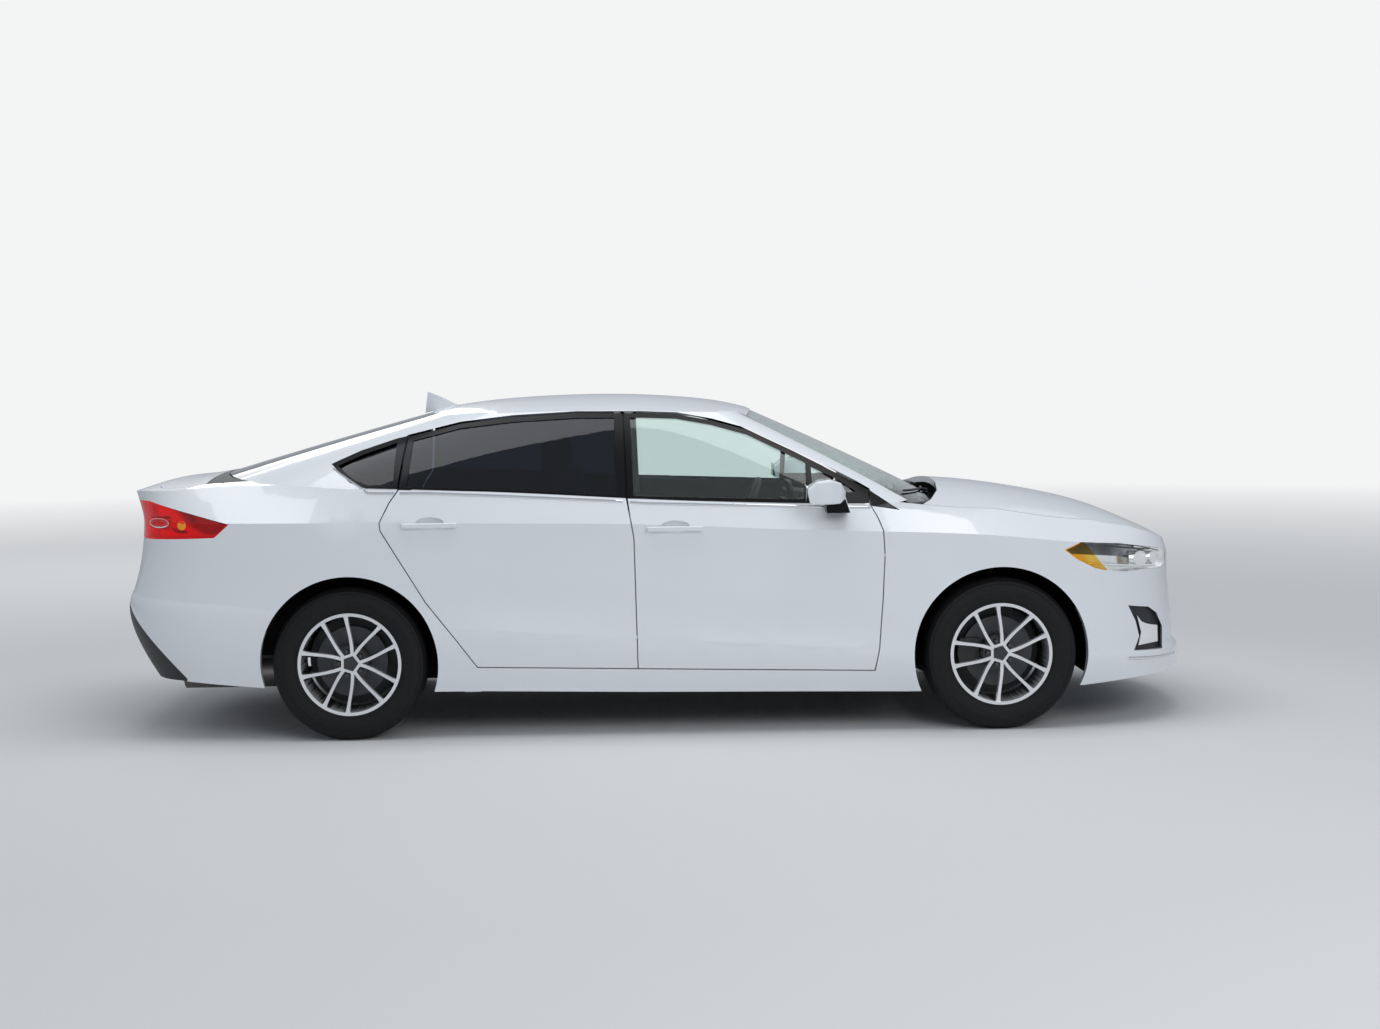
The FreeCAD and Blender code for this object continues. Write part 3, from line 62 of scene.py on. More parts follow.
class Finish:
    """One procedural material and the node tree that makes it."""

    def __init__(self, name, color, roughness, metallic=0.0, **sockets):
        self.material = bpy.data.materials.new(name)
        self.material.use_nodes = True
        self.nodes = self.material.node_tree.nodes
        self.links = self.material.node_tree.links
        self.shader = self.nodes["Principled BSDF"]
        self.set("Base Color", (*color, 1.0))
        self.set("Roughness", roughness)
        self.set("Metallic", metallic)
        for socket, value in sockets.items():
            self.set(socket.replace("_", " "), value)
        self.material.diffuse_color = (*color, 1.0)
        self.place = self.nodes.new("ShaderNodeTexCoord").outputs["Object"]

    def set(self, socket, value):
        self.shader.inputs[socket].default_value = value

    def noise(self, scale, detail=3.0, stretch=None):
        node = self.nodes.new("ShaderNodeTexNoise")
        node.inputs["Scale"].default_value = scale
        node.inputs["Detail"].default_value = detail
        source = self.place
        if stretch:
            mapping = self.nodes.new("ShaderNodeMapping")
            mapping.inputs["Scale"].default_value = stretch
            self.links.new(self.place, mapping.inputs["Vector"])
            source = mapping.outputs["Vector"]
        self.links.new(source, node.inputs["Vector"])
        return node.outputs["Fac"]

    def shade(self, value, low, high):
        """Base colour from low to high along a value."""
        mix = self.nodes.new("ShaderNodeMix")
        mix.data_type = "RGBA"
        mix.inputs[6].default_value = (*low, 1.0)
        mix.inputs[7].default_value = (*high, 1.0)
        self.links.new(value, mix.inputs["Factor"])
        self.links.new(mix.outputs[2], self.shader.inputs["Base Color"])
        return self

    def rough(self, value, low, high):
        span = self.nodes.new("ShaderNodeMapRange")
        span.inputs["To Min"].default_value = low
        span.inputs["To Max"].default_value = high
        self.links.new(value, span.inputs["Value"])
        self.links.new(span.outputs["Result"], self.shader.inputs["Roughness"])
        return self

    def bump(self, value, distance, strength=0.5):
        node = self.nodes.new("ShaderNodeBump")
        node.inputs["Distance"].default_value = distance
        node.inputs["Strength"].default_value = strength
        self.links.new(value, node.inputs["Height"])
        self.links.new(node.outputs["Normal"], self.shader.inputs["Normal"])
        return self


def car_paint(name, color):
    paint = Finish(name, color, 0.32, 0.0, Coat_Weight=1.0, Coat_Roughness=0.03,
                   Specular_IOR_Level=0.5)
    low = tuple(c * 0.97 for c in color)
    paint.shade(paint.noise(900, 2), low, color)
    return paint.material


def tinted_glass(name, color, roughness=0.0, shine=0.5):
    glass = Finish(name, color, roughness, 0.0, Transmission_Weight=1.0, IOR=1.45,
                   Specular_IOR_Level=shine)
    return glass.material


def moulded(name, color, roughness, grain=0.00015, scale=1400):
    plastic = Finish(name, color, roughness)
    value = plastic.noise(scale, 2)
    plastic.rough(value, roughness - 0.05, roughness + 0.08)
    plastic.bump(value, grain, 0.3)
    return plastic.material


def bare_metal(name, color, roughness, grain=(1, 1, 1)):
    metal = Finish(name, color, roughness, 1.0)
    metal.rough(metal.noise(260, 4, grain), roughness - 0.04, roughness + 0.10)
    return metal.material


def silver_alloy(name, color):
    alloy = Finish(name, color, 0.24, 0.55)
    alloy.rough(alloy.noise(320, 3), 0.2, 0.3)
    return alloy.material


def woven(name, color):
    cloth = Finish(name, color, 0.9, 0.0, Sheen_Weight=0.3)
    value = cloth.noise(700, 2)
    cloth.shade(value, tuple(c * 0.7 for c in color), tuple(c * 1.25 for c in color))
    cloth.bump(value, 0.0006, 0.6)
    return cloth.material


def deep_black(name, roughness):
    trim = Finish(name, (0.004, 0.004, 0.005), roughness, 0.0, Specular_IOR_Level=0.22)
    trim.rough(trim.noise(1200, 2), roughness - 0.04, roughness + 0.06)
    return trim.material


def rubber(name):
    tyre = Finish(name, (0.012, 0.012, 0.013), 0.62, 0.0, Specular_IOR_Level=0.2)
    value = tyre.noise(45, 5)
    tyre.shade(value, (0.007, 0.007, 0.008), (0.017, 0.017, 0.018))
    tyre.rough(value, 0.55, 0.75)
    return tyre.material


LOOKS = {
    "paint": car_paint("cool white paint", (0.80, 0.835, 0.87)),
    "paint_plastic": car_paint("cool white painted plastic", (0.797, 0.832, 0.868)),
    "underbody": moulded("sealed underbody", (0.045, 0.045, 0.047), 0.75, 0.0005, 300),
    "black_plastic": moulded("moulded black plastic", (0.018, 0.018, 0.02), 0.5),
    "lamp_housing": moulded("lamp tray", (0.05, 0.05, 0.055), 0.3),
    "lamp_clear": tinted_glass("clear lamp lens", (0.95, 0.97, 0.98)),
    "lamp_red": tinted_glass("red lamp lens", (0.93, 0.05, 0.055), 0.02),
    "glass": tinted_glass("light green glass", (0.74, 0.84, 0.82)),
    "glass_dark": tinted_glass("dark navy glass", (0.045, 0.065, 0.10), 0.0, 0.2),
    "interior_plastic": moulded("dark cabin trim", (0.05, 0.05, 0.053), 0.6, 0.0003, 900),
    "seat_fabric": woven("dark grey seat cloth", (0.055, 0.055, 0.06)),
    "engine_alloy": bare_metal("cast engine alloy", (0.35, 0.35, 0.36), 0.5),
    "exhaust_steel": bare_metal("dull exhaust steel", (0.33, 0.31, 0.29), 0.4),
    "chassis_steel": moulded("black coated steel", (0.03, 0.03, 0.032), 0.45, 0.0004, 200),
    "wheel_alloy": silver_alloy("bright wheel alloy", (0.83, 0.84, 0.86)),
    "tyre": rubber("tread rubber"),
}
BLACK_TRIM = deep_black("black window trim", 0.22)
HOUSE_LINER = deep_black("wheel house liner", 0.8)
CHROME = bare_metal("bright chrome", (0.82, 0.83, 0.85), 0.08)
SILVER_TRAY = bare_metal("silvered lamp tray", (0.80, 0.81, 0.82), 0.22)
DISC_IRON = bare_metal("brake disc iron", (0.09, 0.09, 0.095), 0.45)
# Dark metal on the barrel inside each rim is painted shade; the wheel bolts take the same metal
WHEEL_SHADE_METAL = bare_metal("wheel barrel darkened as painted shade", (0.10, 0.10, 0.105), 0.5)
HUB_CAP = moulded("dark hub cap", (0.03, 0.03, 0.033), 0.25)
AMBER = tinted_glass("amber lamp", (0.98, 0.62, 0.10))
AMBER_SPOT = moulded("amber reflector", (0.95, 0.36, 0.02), 0.2)
WHITE_LAMP = moulded("white lamp guide", (0.82, 0.83, 0.84), 0.2)
MIRROR = bare_metal("mirror silver", (0.85, 0.86, 0.88), 0.03)
BLANK = moulded("blank plate", (0.74, 0.75, 0.76), 0.35)

# ---- Shared modelling helpers

TURNS = {"X": (0, math.pi / 2, 0), "Y": (math.pi / 2, 0, 0), "Z": (0, 0, 0)}
BEVEL_ANGLE = 35
SMOOTH_ANGLE = 40
STRIP_BEVEL, FINE_BEVEL = 0.001, 0.0008
MERGE_REACH = 2e-5


def activate(obj):
    bpy.ops.object.select_all(action="DESELECT")
    obj.select_set(True)
    bpy.context.view_layer.objects.active = obj


def apply_all(obj):
    activate(obj)
    for modifier in list(obj.modifiers):
        bpy.ops.object.modifier_apply(modifier=modifier.name)


def soften(obj, degrees):
    activate(obj)
    bpy.ops.object.shade_smooth_by_angle(angle=math.radians(degrees))


def finished(obj, name, look, body):
    obj.name = obj.data.name = name
    obj.data.materials.clear()
    obj.data.materials.append(look)
    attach(obj, body)
    return obj


def settled(obj):
    """Applies the object's place, turn and size, so that it stands at the origin."""
    activate(obj)
    bpy.ops.object.transform_apply(location=True, rotation=True, scale=True)
    return obj


def block(low, high, turn=(0, 0, 0)):
    """A box between two corners, turned about its own middle."""
    bpy.ops.object.select_all(action="DESELECT")
    middle = [(a + b) / 2 for a, b in zip(low, high)]
    bpy.ops.mesh.primitive_cube_add(size=1, location=middle,
                                    rotation=[math.radians(a) for a in turn])
    bpy.context.object.scale = [b - a for a, b in zip(low, high)]
    return settled(bpy.context.object)


def rod(axis, middle, radius, depth, corners=32):
    bpy.ops.object.select_all(action="DESELECT")
    bpy.ops.mesh.primitive_cylinder_add(vertices=corners, radius=radius, depth=depth,
                                        location=middle, rotation=TURNS[axis])
    return settled(bpy.context.object)


def pick(obj, kind, test):
    """Enters edit mode with only the faces, edges or corners that pass the test selected."""
    activate(obj)
    bpy.ops.object.mode_set(mode="EDIT")
    bpy.ops.mesh.select_mode(type=kind)
    bpy.ops.mesh.select_all(action="DESELECT")
    bpy.ops.object.mode_set(mode="OBJECT")
    group = {"FACE": obj.data.polygons, "EDGE": obj.data.edges, "VERT": obj.data.vertices}[kind]
    for item in group:
        item.select = test(item)
    bpy.ops.object.mode_set(mode="EDIT")


def faces_rear(face):
    return face.normal.x < -0.8


def leave(obj):
    """Makes normals point outwards and leaves edit mode."""
    bpy.ops.mesh.select_all(action="SELECT")
    bpy.ops.mesh.normals_make_consistent(inside=False)
    bpy.ops.object.mode_set(mode="OBJECT")


def recessed(obj, test, *insets, push=None):
    """Insets the faces that pass the test, by each thickness and depth in turn, and may then
    extrude them by a step in x, y and z."""
    pick(obj, "FACE", test)
    for thickness, depth in insets:
        bpy.ops.mesh.inset(thickness=thickness, depth=depth)
    if push:
        bpy.ops.mesh.extrude_region_move(TRANSFORM_OT_translate={"value": push})
    leave(obj)
    return obj


def rounded(obj, width):
    """Bevels the sharp edges and shades the rest smooth."""
    edges = obj.modifiers.new("edges", "BEVEL")
    edges.width = width
    edges.segments = 2
    edges.limit_method = "ANGLE"
    edges.angle_limit = math.radians(BEVEL_ANGLE)
    apply_all(obj)
    soften(obj, SMOOTH_ANGLE)
    return obj


def merged(objs):
    """Joins pieces of one look into the first of them."""
    bpy.ops.object.select_all(action="DESELECT")
    for obj in objs:
        obj.select_set(True)
    bpy.context.view_layer.objects.active = objs[0]
    bpy.ops.object.join()
    return objs[0]


def strip(points, axis, section):
    """Moulding whose section is extruded from point to point. Section sizes: z and y for a run
    along X, x and z along Y, x and y along Z."""
    bpy.ops.object.select_all(action="DESELECT")
    bpy.ops.mesh.primitive_plane_add(size=1, location=points[0], rotation=TURNS[axis])
    bpy.context.object.scale = (section[0], section[1], 1)
    obj = settled(bpy.context.object)
    pick(obj, "FACE", lambda face: True)
    for near, far in zip(points, points[1:]):
        step = [b - a for a, b in zip(near, far)]
        bpy.ops.mesh.extrude_region_move(TRANSFORM_OT_translate={"value": step})
    leave(obj)
    return rounded(obj, STRIP_BEVEL)


def chain(points):
    """Edges through some points, made by extruding one corner; leaves edit mode on."""
    bpy.ops.object.select_all(action="DESELECT")
    bpy.ops.mesh.primitive_plane_add(size=0.001, location=points[0])
    obj = settled(bpy.context.object)
    pick(obj, "VERT", lambda corner: True)
    bpy.ops.mesh.merge(type="CENTER")
    for near, far in zip(points, points[1:]):
        step = [b - a for a, b in zip(near, far)]
        bpy.ops.mesh.extrude_vertices_move(TRANSFORM_OT_translate={"value": step})
    bpy.ops.mesh.select_all(action="SELECT")
    return obj


def plate(points, step):
    """A plate over an outline, thickened by a step in x, y and z."""
    obj = chain(points)
    bpy.ops.mesh.edge_face_add()
    bpy.ops.mesh.extrude_region_move(TRANSFORM_OT_translate={"value": step})
    leave(obj)
    return obj


# ---- Copies of the CAD nodes with their looks

# The doors' low crease: a line by place and normal, its runs in x, and how it is raised
CREASE = Vector((0.0, 0.0, 0.4292))
CREASE_NORMAL = Vector((0.0638, 0.0, 1.0)).normalized()
CREASE_RUNS = ((-0.80, -0.235), (-0.045, 0.84))
CREASE_HEIGHT, CREASE_SPREAD = 0.006, 0.09
ON_CREASE = 1e-4
SKIN_Y = 0.88
CREASE_CUTS = tuple((CREASE + CREASE_NORMAL * shift, CREASE_NORMAL)
                    for shift in (0.0, 0.045, 0.09, -0.045, -0.09))


def crease(obj, side):
    """Raises the low crease of a door, clear of the hinge, and marks its line sharp."""
    bpy.ops.object.mode_set(mode="OBJECT")

    def on_line(place):
        near = abs((place - CREASE).dot(CREASE_NORMAL)) < ON_CREASE
        run = any(low < place.x < high for low, high in CREASE_RUNS)
        return near and place.y * side > SKIN_Y and run

    corners = obj.data.vertices
    pick(obj, "EDGE", lambda edge: all(on_line(corners[i].co) for i in edge.vertices))
    bpy.ops.mesh.mark_sharp()
    bpy.ops.transform.translate(value=(0, side * CREASE_HEIGHT, 0), use_proportional_edit=True,
                                proportional_edit_falloff="LINEAR",
                                proportional_size=CREASE_SPREAD,
                                use_proportional_connected=True)


def dressed(node, look=None, degrees=28.0, parts=(), cuts=(), creased=0):
    """A merged, smooth-shaded copy that stands for a CAD node. Each part is a look for the
    faces that its test accepts, and each cut a plane, by place and normal, that splits faces."""
    source = NODES[node]
    copy = source.copy()
    copy.data = source.data.copy()
    copy.parent = None
    copy.matrix_world = source.matrix_world.copy()
    scene.collection.objects.link(copy)
    if copy.data.has_custom_normals:
        activate(copy)
        bpy.ops.mesh.customdata_custom_splitnormals_clear()
    pick(copy, "FACE", lambda face: True)
    bpy.ops.mesh.remove_doubles(threshold=MERGE_REACH)
    for place, normal in cuts:
        bpy.ops.mesh.select_all(action="SELECT")
        bpy.ops.mesh.bisect(plane_co=place, plane_no=normal)
    if creased:
        crease(copy, creased)
    bpy.ops.object.mode_set(mode="OBJECT")
    soften(copy, degrees)
    slot = SLOT_OF[node]
    finished(copy, node + "_finish", look or LOOKS[slot], BODY_OF[node])
    for part_look, test in parts:
        copy.data.materials.append(part_look)
        index = len(copy.data.materials) - 1
        for face in copy.data.polygons:
            if test(face.center, face.normal):
                face.material_index = index
    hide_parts(node)
    return copy


# Corners in x and z of the line under the side windows and of the black window trim
BELT = ((1.40, 0.90), (1.025, 0.972), (0.900, 0.992), (0.516, 1.006), (-0.108, 1.028),
        (-0.193, 1.037), (-0.734, 1.069), (-1.030, 1.084), (-1.282, 1.087), (-1.361, 1.125),
        (-1.426, 1.169), (-1.457, 1.196))
QUARTER_FRAME = ((-1.462, 1.200), (-1.440, 1.180), (-1.372, 1.122), (-1.302, 1.096),
                 (-1.080, 1.090), (-1.000, 1.346), (-1.180, 1.306), (-1.335, 1.256))
WINDOW_TIP = ((0.880, 0.994), (0.880, 1.074), (1.033, 0.970))
SIDE_FROM = 0.45
ABOVE_ROOF = 2.0
FRAME_RISE = 0.004

# Limits of the faces with a look of their own: the doors' trim by y and z, the middle pillar
# and the cowl by x and z, and the wheel houses by reach from the axle and y
TRIM_Y, TRIM_FOOT = 0.875, 0.24
PILLAR_X, PILLAR_Z = (-0.26, -0.09), (0.97, 1.404)
COWL_X, COWL_Y, COWL_Z = (0.88, 1.30), 0.76, (0.80, 1.01)
AXLES_X, AXLE_HEIGHT = (1.470, -1.380), 0.334
HOUSE_REACH, LIP_REACH, HOUSE_Y = 0.45, 0.40, 0.78

# Planes by place and normal: the bumper's dark insert and the lamps' amber corner lie behind
INSERT_CUT = ((-2.264, 0, 0.454), (0.152, 0, 0.138))
INSERT_FRONT = -2.10
AMBER_CUT = ((1.847, 0, 0.807), (0.119, 0, 0.101))
MIRROR_FOOT_HEIGHT, MIRROR_REAR = 1.012, 0.611


def belt_height(x):
    """Height of the line under the side windows."""
    for (x1, z1), (x0, z0) in zip(BELT, BELT[1:]):
        if x0 <= x <= x1:
            return z0 + (z1 - z0) * (x - x0) / (x1 - x0)
    return ABOVE_ROOF


def lies_in(value, limits):
    return limits[0] < value < limits[1]


def window_frame(center, normal):
    """Faces of a door above its belt line."""
    return center.z > belt_height(center.x) + FRAME_RISE


def cabin_side(center, normal):
    """Faces that look into the cabin, well inside the skin."""
    inwards = normal.y * center.y < -0.02
    return inwards and abs(center.y) < TRIM_Y and center.z > TRIM_FOOT


def pillar_between_doors(center, normal):
    """Outer faces of the middle pillar by the windows."""
    outer = normal.y * center.y > 0
    return outer and lies_in(center.x, PILLAR_X) and lies_in(center.z, PILLAR_Z)


def wheel_house(center, normal):
    """Faces inside the wheel arches."""
    outwards = normal.y * math.copysign(1, center.y)
    for x in AXLES_X:
        reach = math.hypot(center.x - x, center.z - AXLE_HEIGHT)
        lip = outwards < 0.35 and reach < LIP_REACH
        if reach < HOUSE_REACH and (abs(center.y) < HOUSE_Y or lip):
            return True
    return False


def cowl(center, normal):
    """Inner faces by the wipers."""
    hidden = normal.y * center.y < 0.05 and normal.z < 0.5
    near = lies_in(center.x, COWL_X) and lies_in(center.z, COWL_Z)
    return hidden and near and abs(center.y) < COWL_Y


def mirror_foot(center, normal):
    """The foot and the rear rim of a door mirror."""
    return center.z < MIRROR_FOOT_HEIGHT or center.x < MIRROR_REAR


def behind(center, cut):
    """Whether a place lies behind a plane across the car."""
    place, normal = cut
    return (center.x - place[0]) * normal[0] + (center.z - place[2]) * normal[2] < 0


def amber_corner(center, normal):
    """Faces of a headlamp lens behind its cut."""
    return behind(center, AMBER_CUT)


def rear_insert(center, normal):
    """Lower rear corner of the bumper, behind a slanting line."""
    return center.x < INSERT_FRONT and behind(center, INSERT_CUT)


def within(outline):
    """A test of faces by an outline in x and z."""

    def tested(center, normal):
        inside = False
        for (x0, z0), (x1, z1) in zip(outline, outline[1:] + outline[:1]):
            if (z0 > center.z) != (z1 > center.z):
                inside ^= center.x < x0 + (x1 - x0) * (center.z - z0) / (z1 - z0)
        return inside and abs(center.y) > SIDE_FROM

    return tested


def cuts_along(outline):
    """Planes across the car through an outline's edges."""
    return tuple(((x0, 0, z0), (z1 - z0, 0, x0 - x1))
                 for (x0, z0), (x1, z1) in zip(outline, outline[1:] + outline[:1]))


def axle_middle(node):
    """Middle of a wheel's box, on its axle."""
    low, high = (Vector(corner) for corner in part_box(node))
    return (low + high) / 2


def on_axle(node, reaches, places):
    """A test of faces by distance from a wheel's axle and place along it, outwards."""
    middle = axle_middle(node)

    def tested(center, normal):
        reach = math.hypot(center.x - middle.x, center.z - middle.z)
        place = abs(center.y) - abs(middle.y)
        return lies_in(reach, reaches) and lies_in(place, places)

    return tested


# Look, reach from the axle and place along it for a wheel's parts
WHEEL_PARTS = ((DISC_IRON, (0.078, 0.185), (-1, 0.037)),
               (HUB_CAP, (-1, 0.0795), (-1, 0.0555)),
               # The barrel behind the spokes gets dark metal as painted shade
               (WHEEL_SHADE_METAL, (0.200, 0.222), (-0.09, 0.030)))
DOOR_PARTS = ((LOOKS["interior_plastic"], cabin_side), (BLACK_TRIM, window_frame))
BODY_PARTS = ((BLACK_TRIM, within(QUARTER_FRAME)), (BLACK_TRIM, within(WINDOW_TIP)),
              (BLACK_TRIM, cowl), (HOUSE_LINER, wheel_house))
DRESS = {
    "rear_bumper": {"parts": ((LOOKS["black_plastic"], rear_insert),),
                    "cuts": (INSERT_CUT, ((INSERT_FRONT, 0, 0), (1, 0, 0)))},
    "firewall": {"look": LOOKS["black_plastic"]},
    "tail_lamps": {"look": SILVER_TRAY},
    "headlamps": {"look": SILVER_TRAY},
    "headlamp_lenses": {"parts": ((AMBER, amber_corner),), "cuts": (AMBER_CUT,)},
}
for side_name, side in SIDES:
    for door in ("front_door_", "rear_door_"):
        DRESS[door + side_name] = {"parts": DOOR_PARTS, "cuts": CREASE_CUTS, "creased": side}
    DRESS["side_frame_" + side_name] = {
        "parts": ((BLACK_TRIM, pillar_between_doors),) + BODY_PARTS,
        "cuts": cuts_along(QUARTER_FRAME) + cuts_along(WINDOW_TIP)}
    DRESS["fender_" + side_name] = {"parts": BODY_PARTS, "cuts": cuts_along(WINDOW_TIP)}
    DRESS["mirror_" + side_name] = {"parts": ((BLACK_TRIM, mirror_foot),)}
    for end in ENDS:
        node = "wheel_%s_%s" % (end, side_name)
        DRESS[node] = {"degrees": 15, "parts": [(look, on_axle(node, reaches, places))
                                                for look, reaches, places in WHEEL_PARTS]}
for node in NODES:
    dressed(node, **DRESS.get(node, {}))

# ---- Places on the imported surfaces

SURFACES = {}
BESIDE_CAR, BEYOND_END = 1.6, 3.2


def struck(origin, direction, node):
    """Nearest point of a CAD node along a ray, by a search tree that is made once a node."""
    if node not in SURFACES:
        obj = NODES[node]
        corners = [obj.matrix_world @ corner.co for corner in obj.data.vertices]
        SURFACES[node] = BVHTree.FromPolygons(corners, [f.vertices[:] for f in obj.data.polygons])
    return SURFACES[node].ray_cast(origin, direction)[0]


def on_side(x, z, side, node, lift=0.0):
    """Place on a node's side at x and z, lifted outwards."""
    place = struck(Vector((x, side * BESIDE_CAR, z)), Vector((0, -side, 0)), node)
    return Vector((x, place.y + side * lift, z))


def on_end(y, z, end, node, lift=0.0):
    """Place on a node's front or rear face at y and z, lifted outwards."""
    place = struck(Vector((end * BEYOND_END, y, z)), Vector((-end, 0, 0)), node)
    return Vector((place.x + end * lift, y, z))


def between(a, b, count):
    """Evenly spaced places from a to b."""
    return [tuple(p + (q - p) * i / (count - 1) for p, q in zip(a, b)) for i in range(count)]


# ---- Belt line mouldings

BELT_RUNS = (("front_door", 0.900, -0.152), ("rear_door", -0.182, -1.148))
QUARTER_LINE = (between((-1.168, 1.0855), (-1.285, 1.087), 5)
                + between((-1.300, 1.0955), (-1.452, 1.190), 8))
BELT_DROP, BELT_LIFT, BELT_SECTION = 0.009, 0.001, (0.011, 0.007)
for side_name, side in SIDES:
    for door, start, end in BELT_RUNS:
        node = door + "_" + side_name
        line = [on_side(x, belt_height(x) - BELT_DROP, side, node, BELT_LIFT)
                for (x,) in between((start,), (end,), 18)]
        moulding = strip(line, "X", BELT_SECTION)
        finished(moulding, "belt_moulding_" + node, CHROME, node)
    line = [on_side(x, z - BELT_DROP, side, "side_frame_" + side_name, BELT_LIFT)
            for x, z in QUARTER_LINE]
    moulding = strip(line, "X", BELT_SECTION)
    finished(moulding, "quarter_moulding_" + side_name, CHROME, "root")

# ---- Tyres with tread, hub caps and bolts

# Radius and place along the axle, from the inner bead's edge to the middle of the tread
TYRE_PROFILE = ((0.2193, 0.0925), (0.2250, 0.1035), (0.2320, 0.1080), (0.2340, 0.1062),
                (0.2500, 0.1125), (0.2700, 0.1165), (0.2900, 0.1160), (0.3060, 0.1125),
                (0.3085, 0.1140), (0.3180, 0.1050), (0.3262, 0.0950), (0.3306, 0.0840),
                (0.3320, 0.0640), (0.3255, 0.0630), (0.3255, 0.0540), (0.3329, 0.0530),
                (0.3333, 0.0260), (0.3265, 0.0250), (0.3265, 0.0160), (0.3334, 0.0150))
TREAD_STEPS, TREAD_FLOOR, GROOVE_DEPTH = 168, 0.3275, 0.0055
SHOULDER_Y, RIB_Y = (0.066, 0.100), (0.028, 0.051)
CAP_RADIUS, CAP_FACE, CAP_DEPTH = 0.035, 0.0745, 0.006
BOLT_RING, BOLT_RADIUS, BOLT_FACE, BOLT_LENGTH = 0.054, 0.0095, 0.069, 0.018
JUST_UNDER = 0.0001


def make_tyre():
    """A tyre about the origin: a section turned round the axle, then blocks cut in its tread."""
    outline = list(TYRE_PROFILE) + [(r, -y) for r, y in reversed(TYRE_PROFILE)]
    tyre = chain([(r, y, 0) for r, y in outline + outline[:1]])
    bpy.ops.mesh.spin(steps=TREAD_STEPS, angle=math.tau, center=(0, 0, 0), axis=(0, 1, 0))
    bpy.ops.mesh.select_all(action="SELECT")
    bpy.ops.mesh.remove_doubles(threshold=0.0002)
    leave(tyre)

    def groove(face):
        c = face.center
        step = round((math.atan2(c.z, c.x) % math.tau) / math.tau * TREAD_STEPS - 0.5)
        far = math.hypot(c.x, c.z) > TREAD_FLOOR
        shoulder = lies_in(abs(c.y), SHOULDER_Y) and step % 3 == 0
        rib = lies_in(abs(c.y), RIB_Y) and (step + (c.y > 0)) % 4 == 1
        return far and (shoulder or rib)

    pick(tyre, "FACE", groove)
    bpy.ops.mesh.extrude_region_shrink_fatten(
        TRANSFORM_OT_shrink_fatten={"value": -GROOVE_DEPTH})
    leave(tyre)
    soften(tyre, 32)
    return tyre


def make_cap():
    """Five-cornered centre cap of a wheel: a dished plate with a raised rim."""
    cap = rod("Y", (0, CAP_FACE - CAP_DEPTH / 2, 0), CAP_RADIUS, CAP_DEPTH, 5)
    activate(cap)
    bpy.ops.transform.rotate(value=-math.pi / 2, orient_axis="Y", center_override=(0, 0, 0))
    settled(cap)
    recessed(cap, lambda face: face.center.y > CAP_FACE - JUST_UNDER,
             (0.004, 0), (0.0015, -0.0015))
    return rounded(cap, 0.0006)


def make_bolts():
    bolts = []
    for i in range(5):
        angle = math.tau * (i + 0.5) / 5
        place = (BOLT_RING * math.cos(angle), BOLT_FACE - BOLT_LENGTH / 2,
                 -BOLT_RING * math.sin(angle))
        bolt = rod("Y", place, BOLT_RADIUS, BOLT_LENGTH, 6)
        recessed(bolt, lambda face: face.center.y > BOLT_FACE - JUST_UNDER, (0.002, 0),
                 push=(0, 0.002, 0))
        bolts.append(rounded(bolt, 0.0007))
    return merged(bolts)


def set_on_wheel(source, name, node, look, side):
    """A copy of a piece made about the origin, set on a wheel's axle and facing outwards."""
    copy = source.copy()
    copy.data = source.data.copy()
    scene.collection.objects.link(copy)
    activate(copy)
    if side < 0:
        copy.rotation_euler = (math.pi, 0, 0)
    copy.location = axle_middle(node)
    settled(copy)
    return finished(copy, name, look, BODY_OF[node])


tyre, cap, bolts = make_tyre(), make_cap(), make_bolts()
for end in ENDS:
    for side_name, side in SIDES:
        place = "_%s_%s" % (end, side_name)
        node = "tyre" + place
        copy = set_on_wheel(tyre, "tyre_tread" + place, node, LOOKS["tyre"], side)
        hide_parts(node)
        set_on_wheel(cap, "hub_cap" + place, node, HUB_CAP, side)
        set_on_wheel(bolts, "wheel_bolts" + place, node, WHEEL_SHADE_METAL, side)
for source in (tyre, cap, bolts):
    bpy.data.objects.remove(source)

# ---- Lamps, bumpers and tail

# Bars along the sides: name, node that carries it, its ends in x and z, points, lift off the
# node, section, look and slot
SIDE_BARS = (
    ("headlamp_brow", "headlamp_lenses", ((1.93, 0.800), (2.17, 0.770)), 7, -0.012,
     (0.006, 0.010), BLACK_TRIM, "lamp_housing"),
    ("headlamp_sill", "headlamp_lenses", ((1.86, 0.724), (2.20, 0.694)), 8, -0.011,
     (0.008, 0.008), CHROME, "lamp_housing"),
    ("bumper_bar", "front_bumper", ((2.050, 0.296), (2.330, 0.276)), 12, 0.001,
     (0.014, 0.008), CHROME, "paint_plastic"))
# Ovals on the tail lamps: name, middle in x and z, half sizes, depth of the inner face, look
TAIL_OVALS = (("window", (-2.205, 0.956), (0.052, 0.021), -0.0014, WHITE_LAMP),
              ("spot", (-2.092, 0.948), (0.020, 0.019), 0.0006, AMBER_SPOT))
OVAL_CORNERS = 20
DAYTIME_LAMP = ((2.096, 0.482), (2.120, 0.452), (2.145, 0.440), (2.175, 0.431), (2.214, 0.423),
                (2.214, 0.350), (2.103, 0.346), (2.118, 0.403))
VENT_TOP, VENT_FOOT = 0.548, 0.298
MIRROR_LOW, MIRROR_HIGH = (0.6035, 0.942, 1.0285), (0.6085, 1.048, 1.0935)
SEAL_LINE = ((-0.700, 1.392), (-0.800, 1.380), (-0.895, 1.368), (-0.980, 1.350),
             (-1.060, 1.331), (-1.110, 1.319))
SHIELD_Y, SHIELD_RADIUS, SHIELD_RING = 0.7055, 0.196, 0.141
PIPE_END, PIPE_LENGTH = -2.300, 0.11


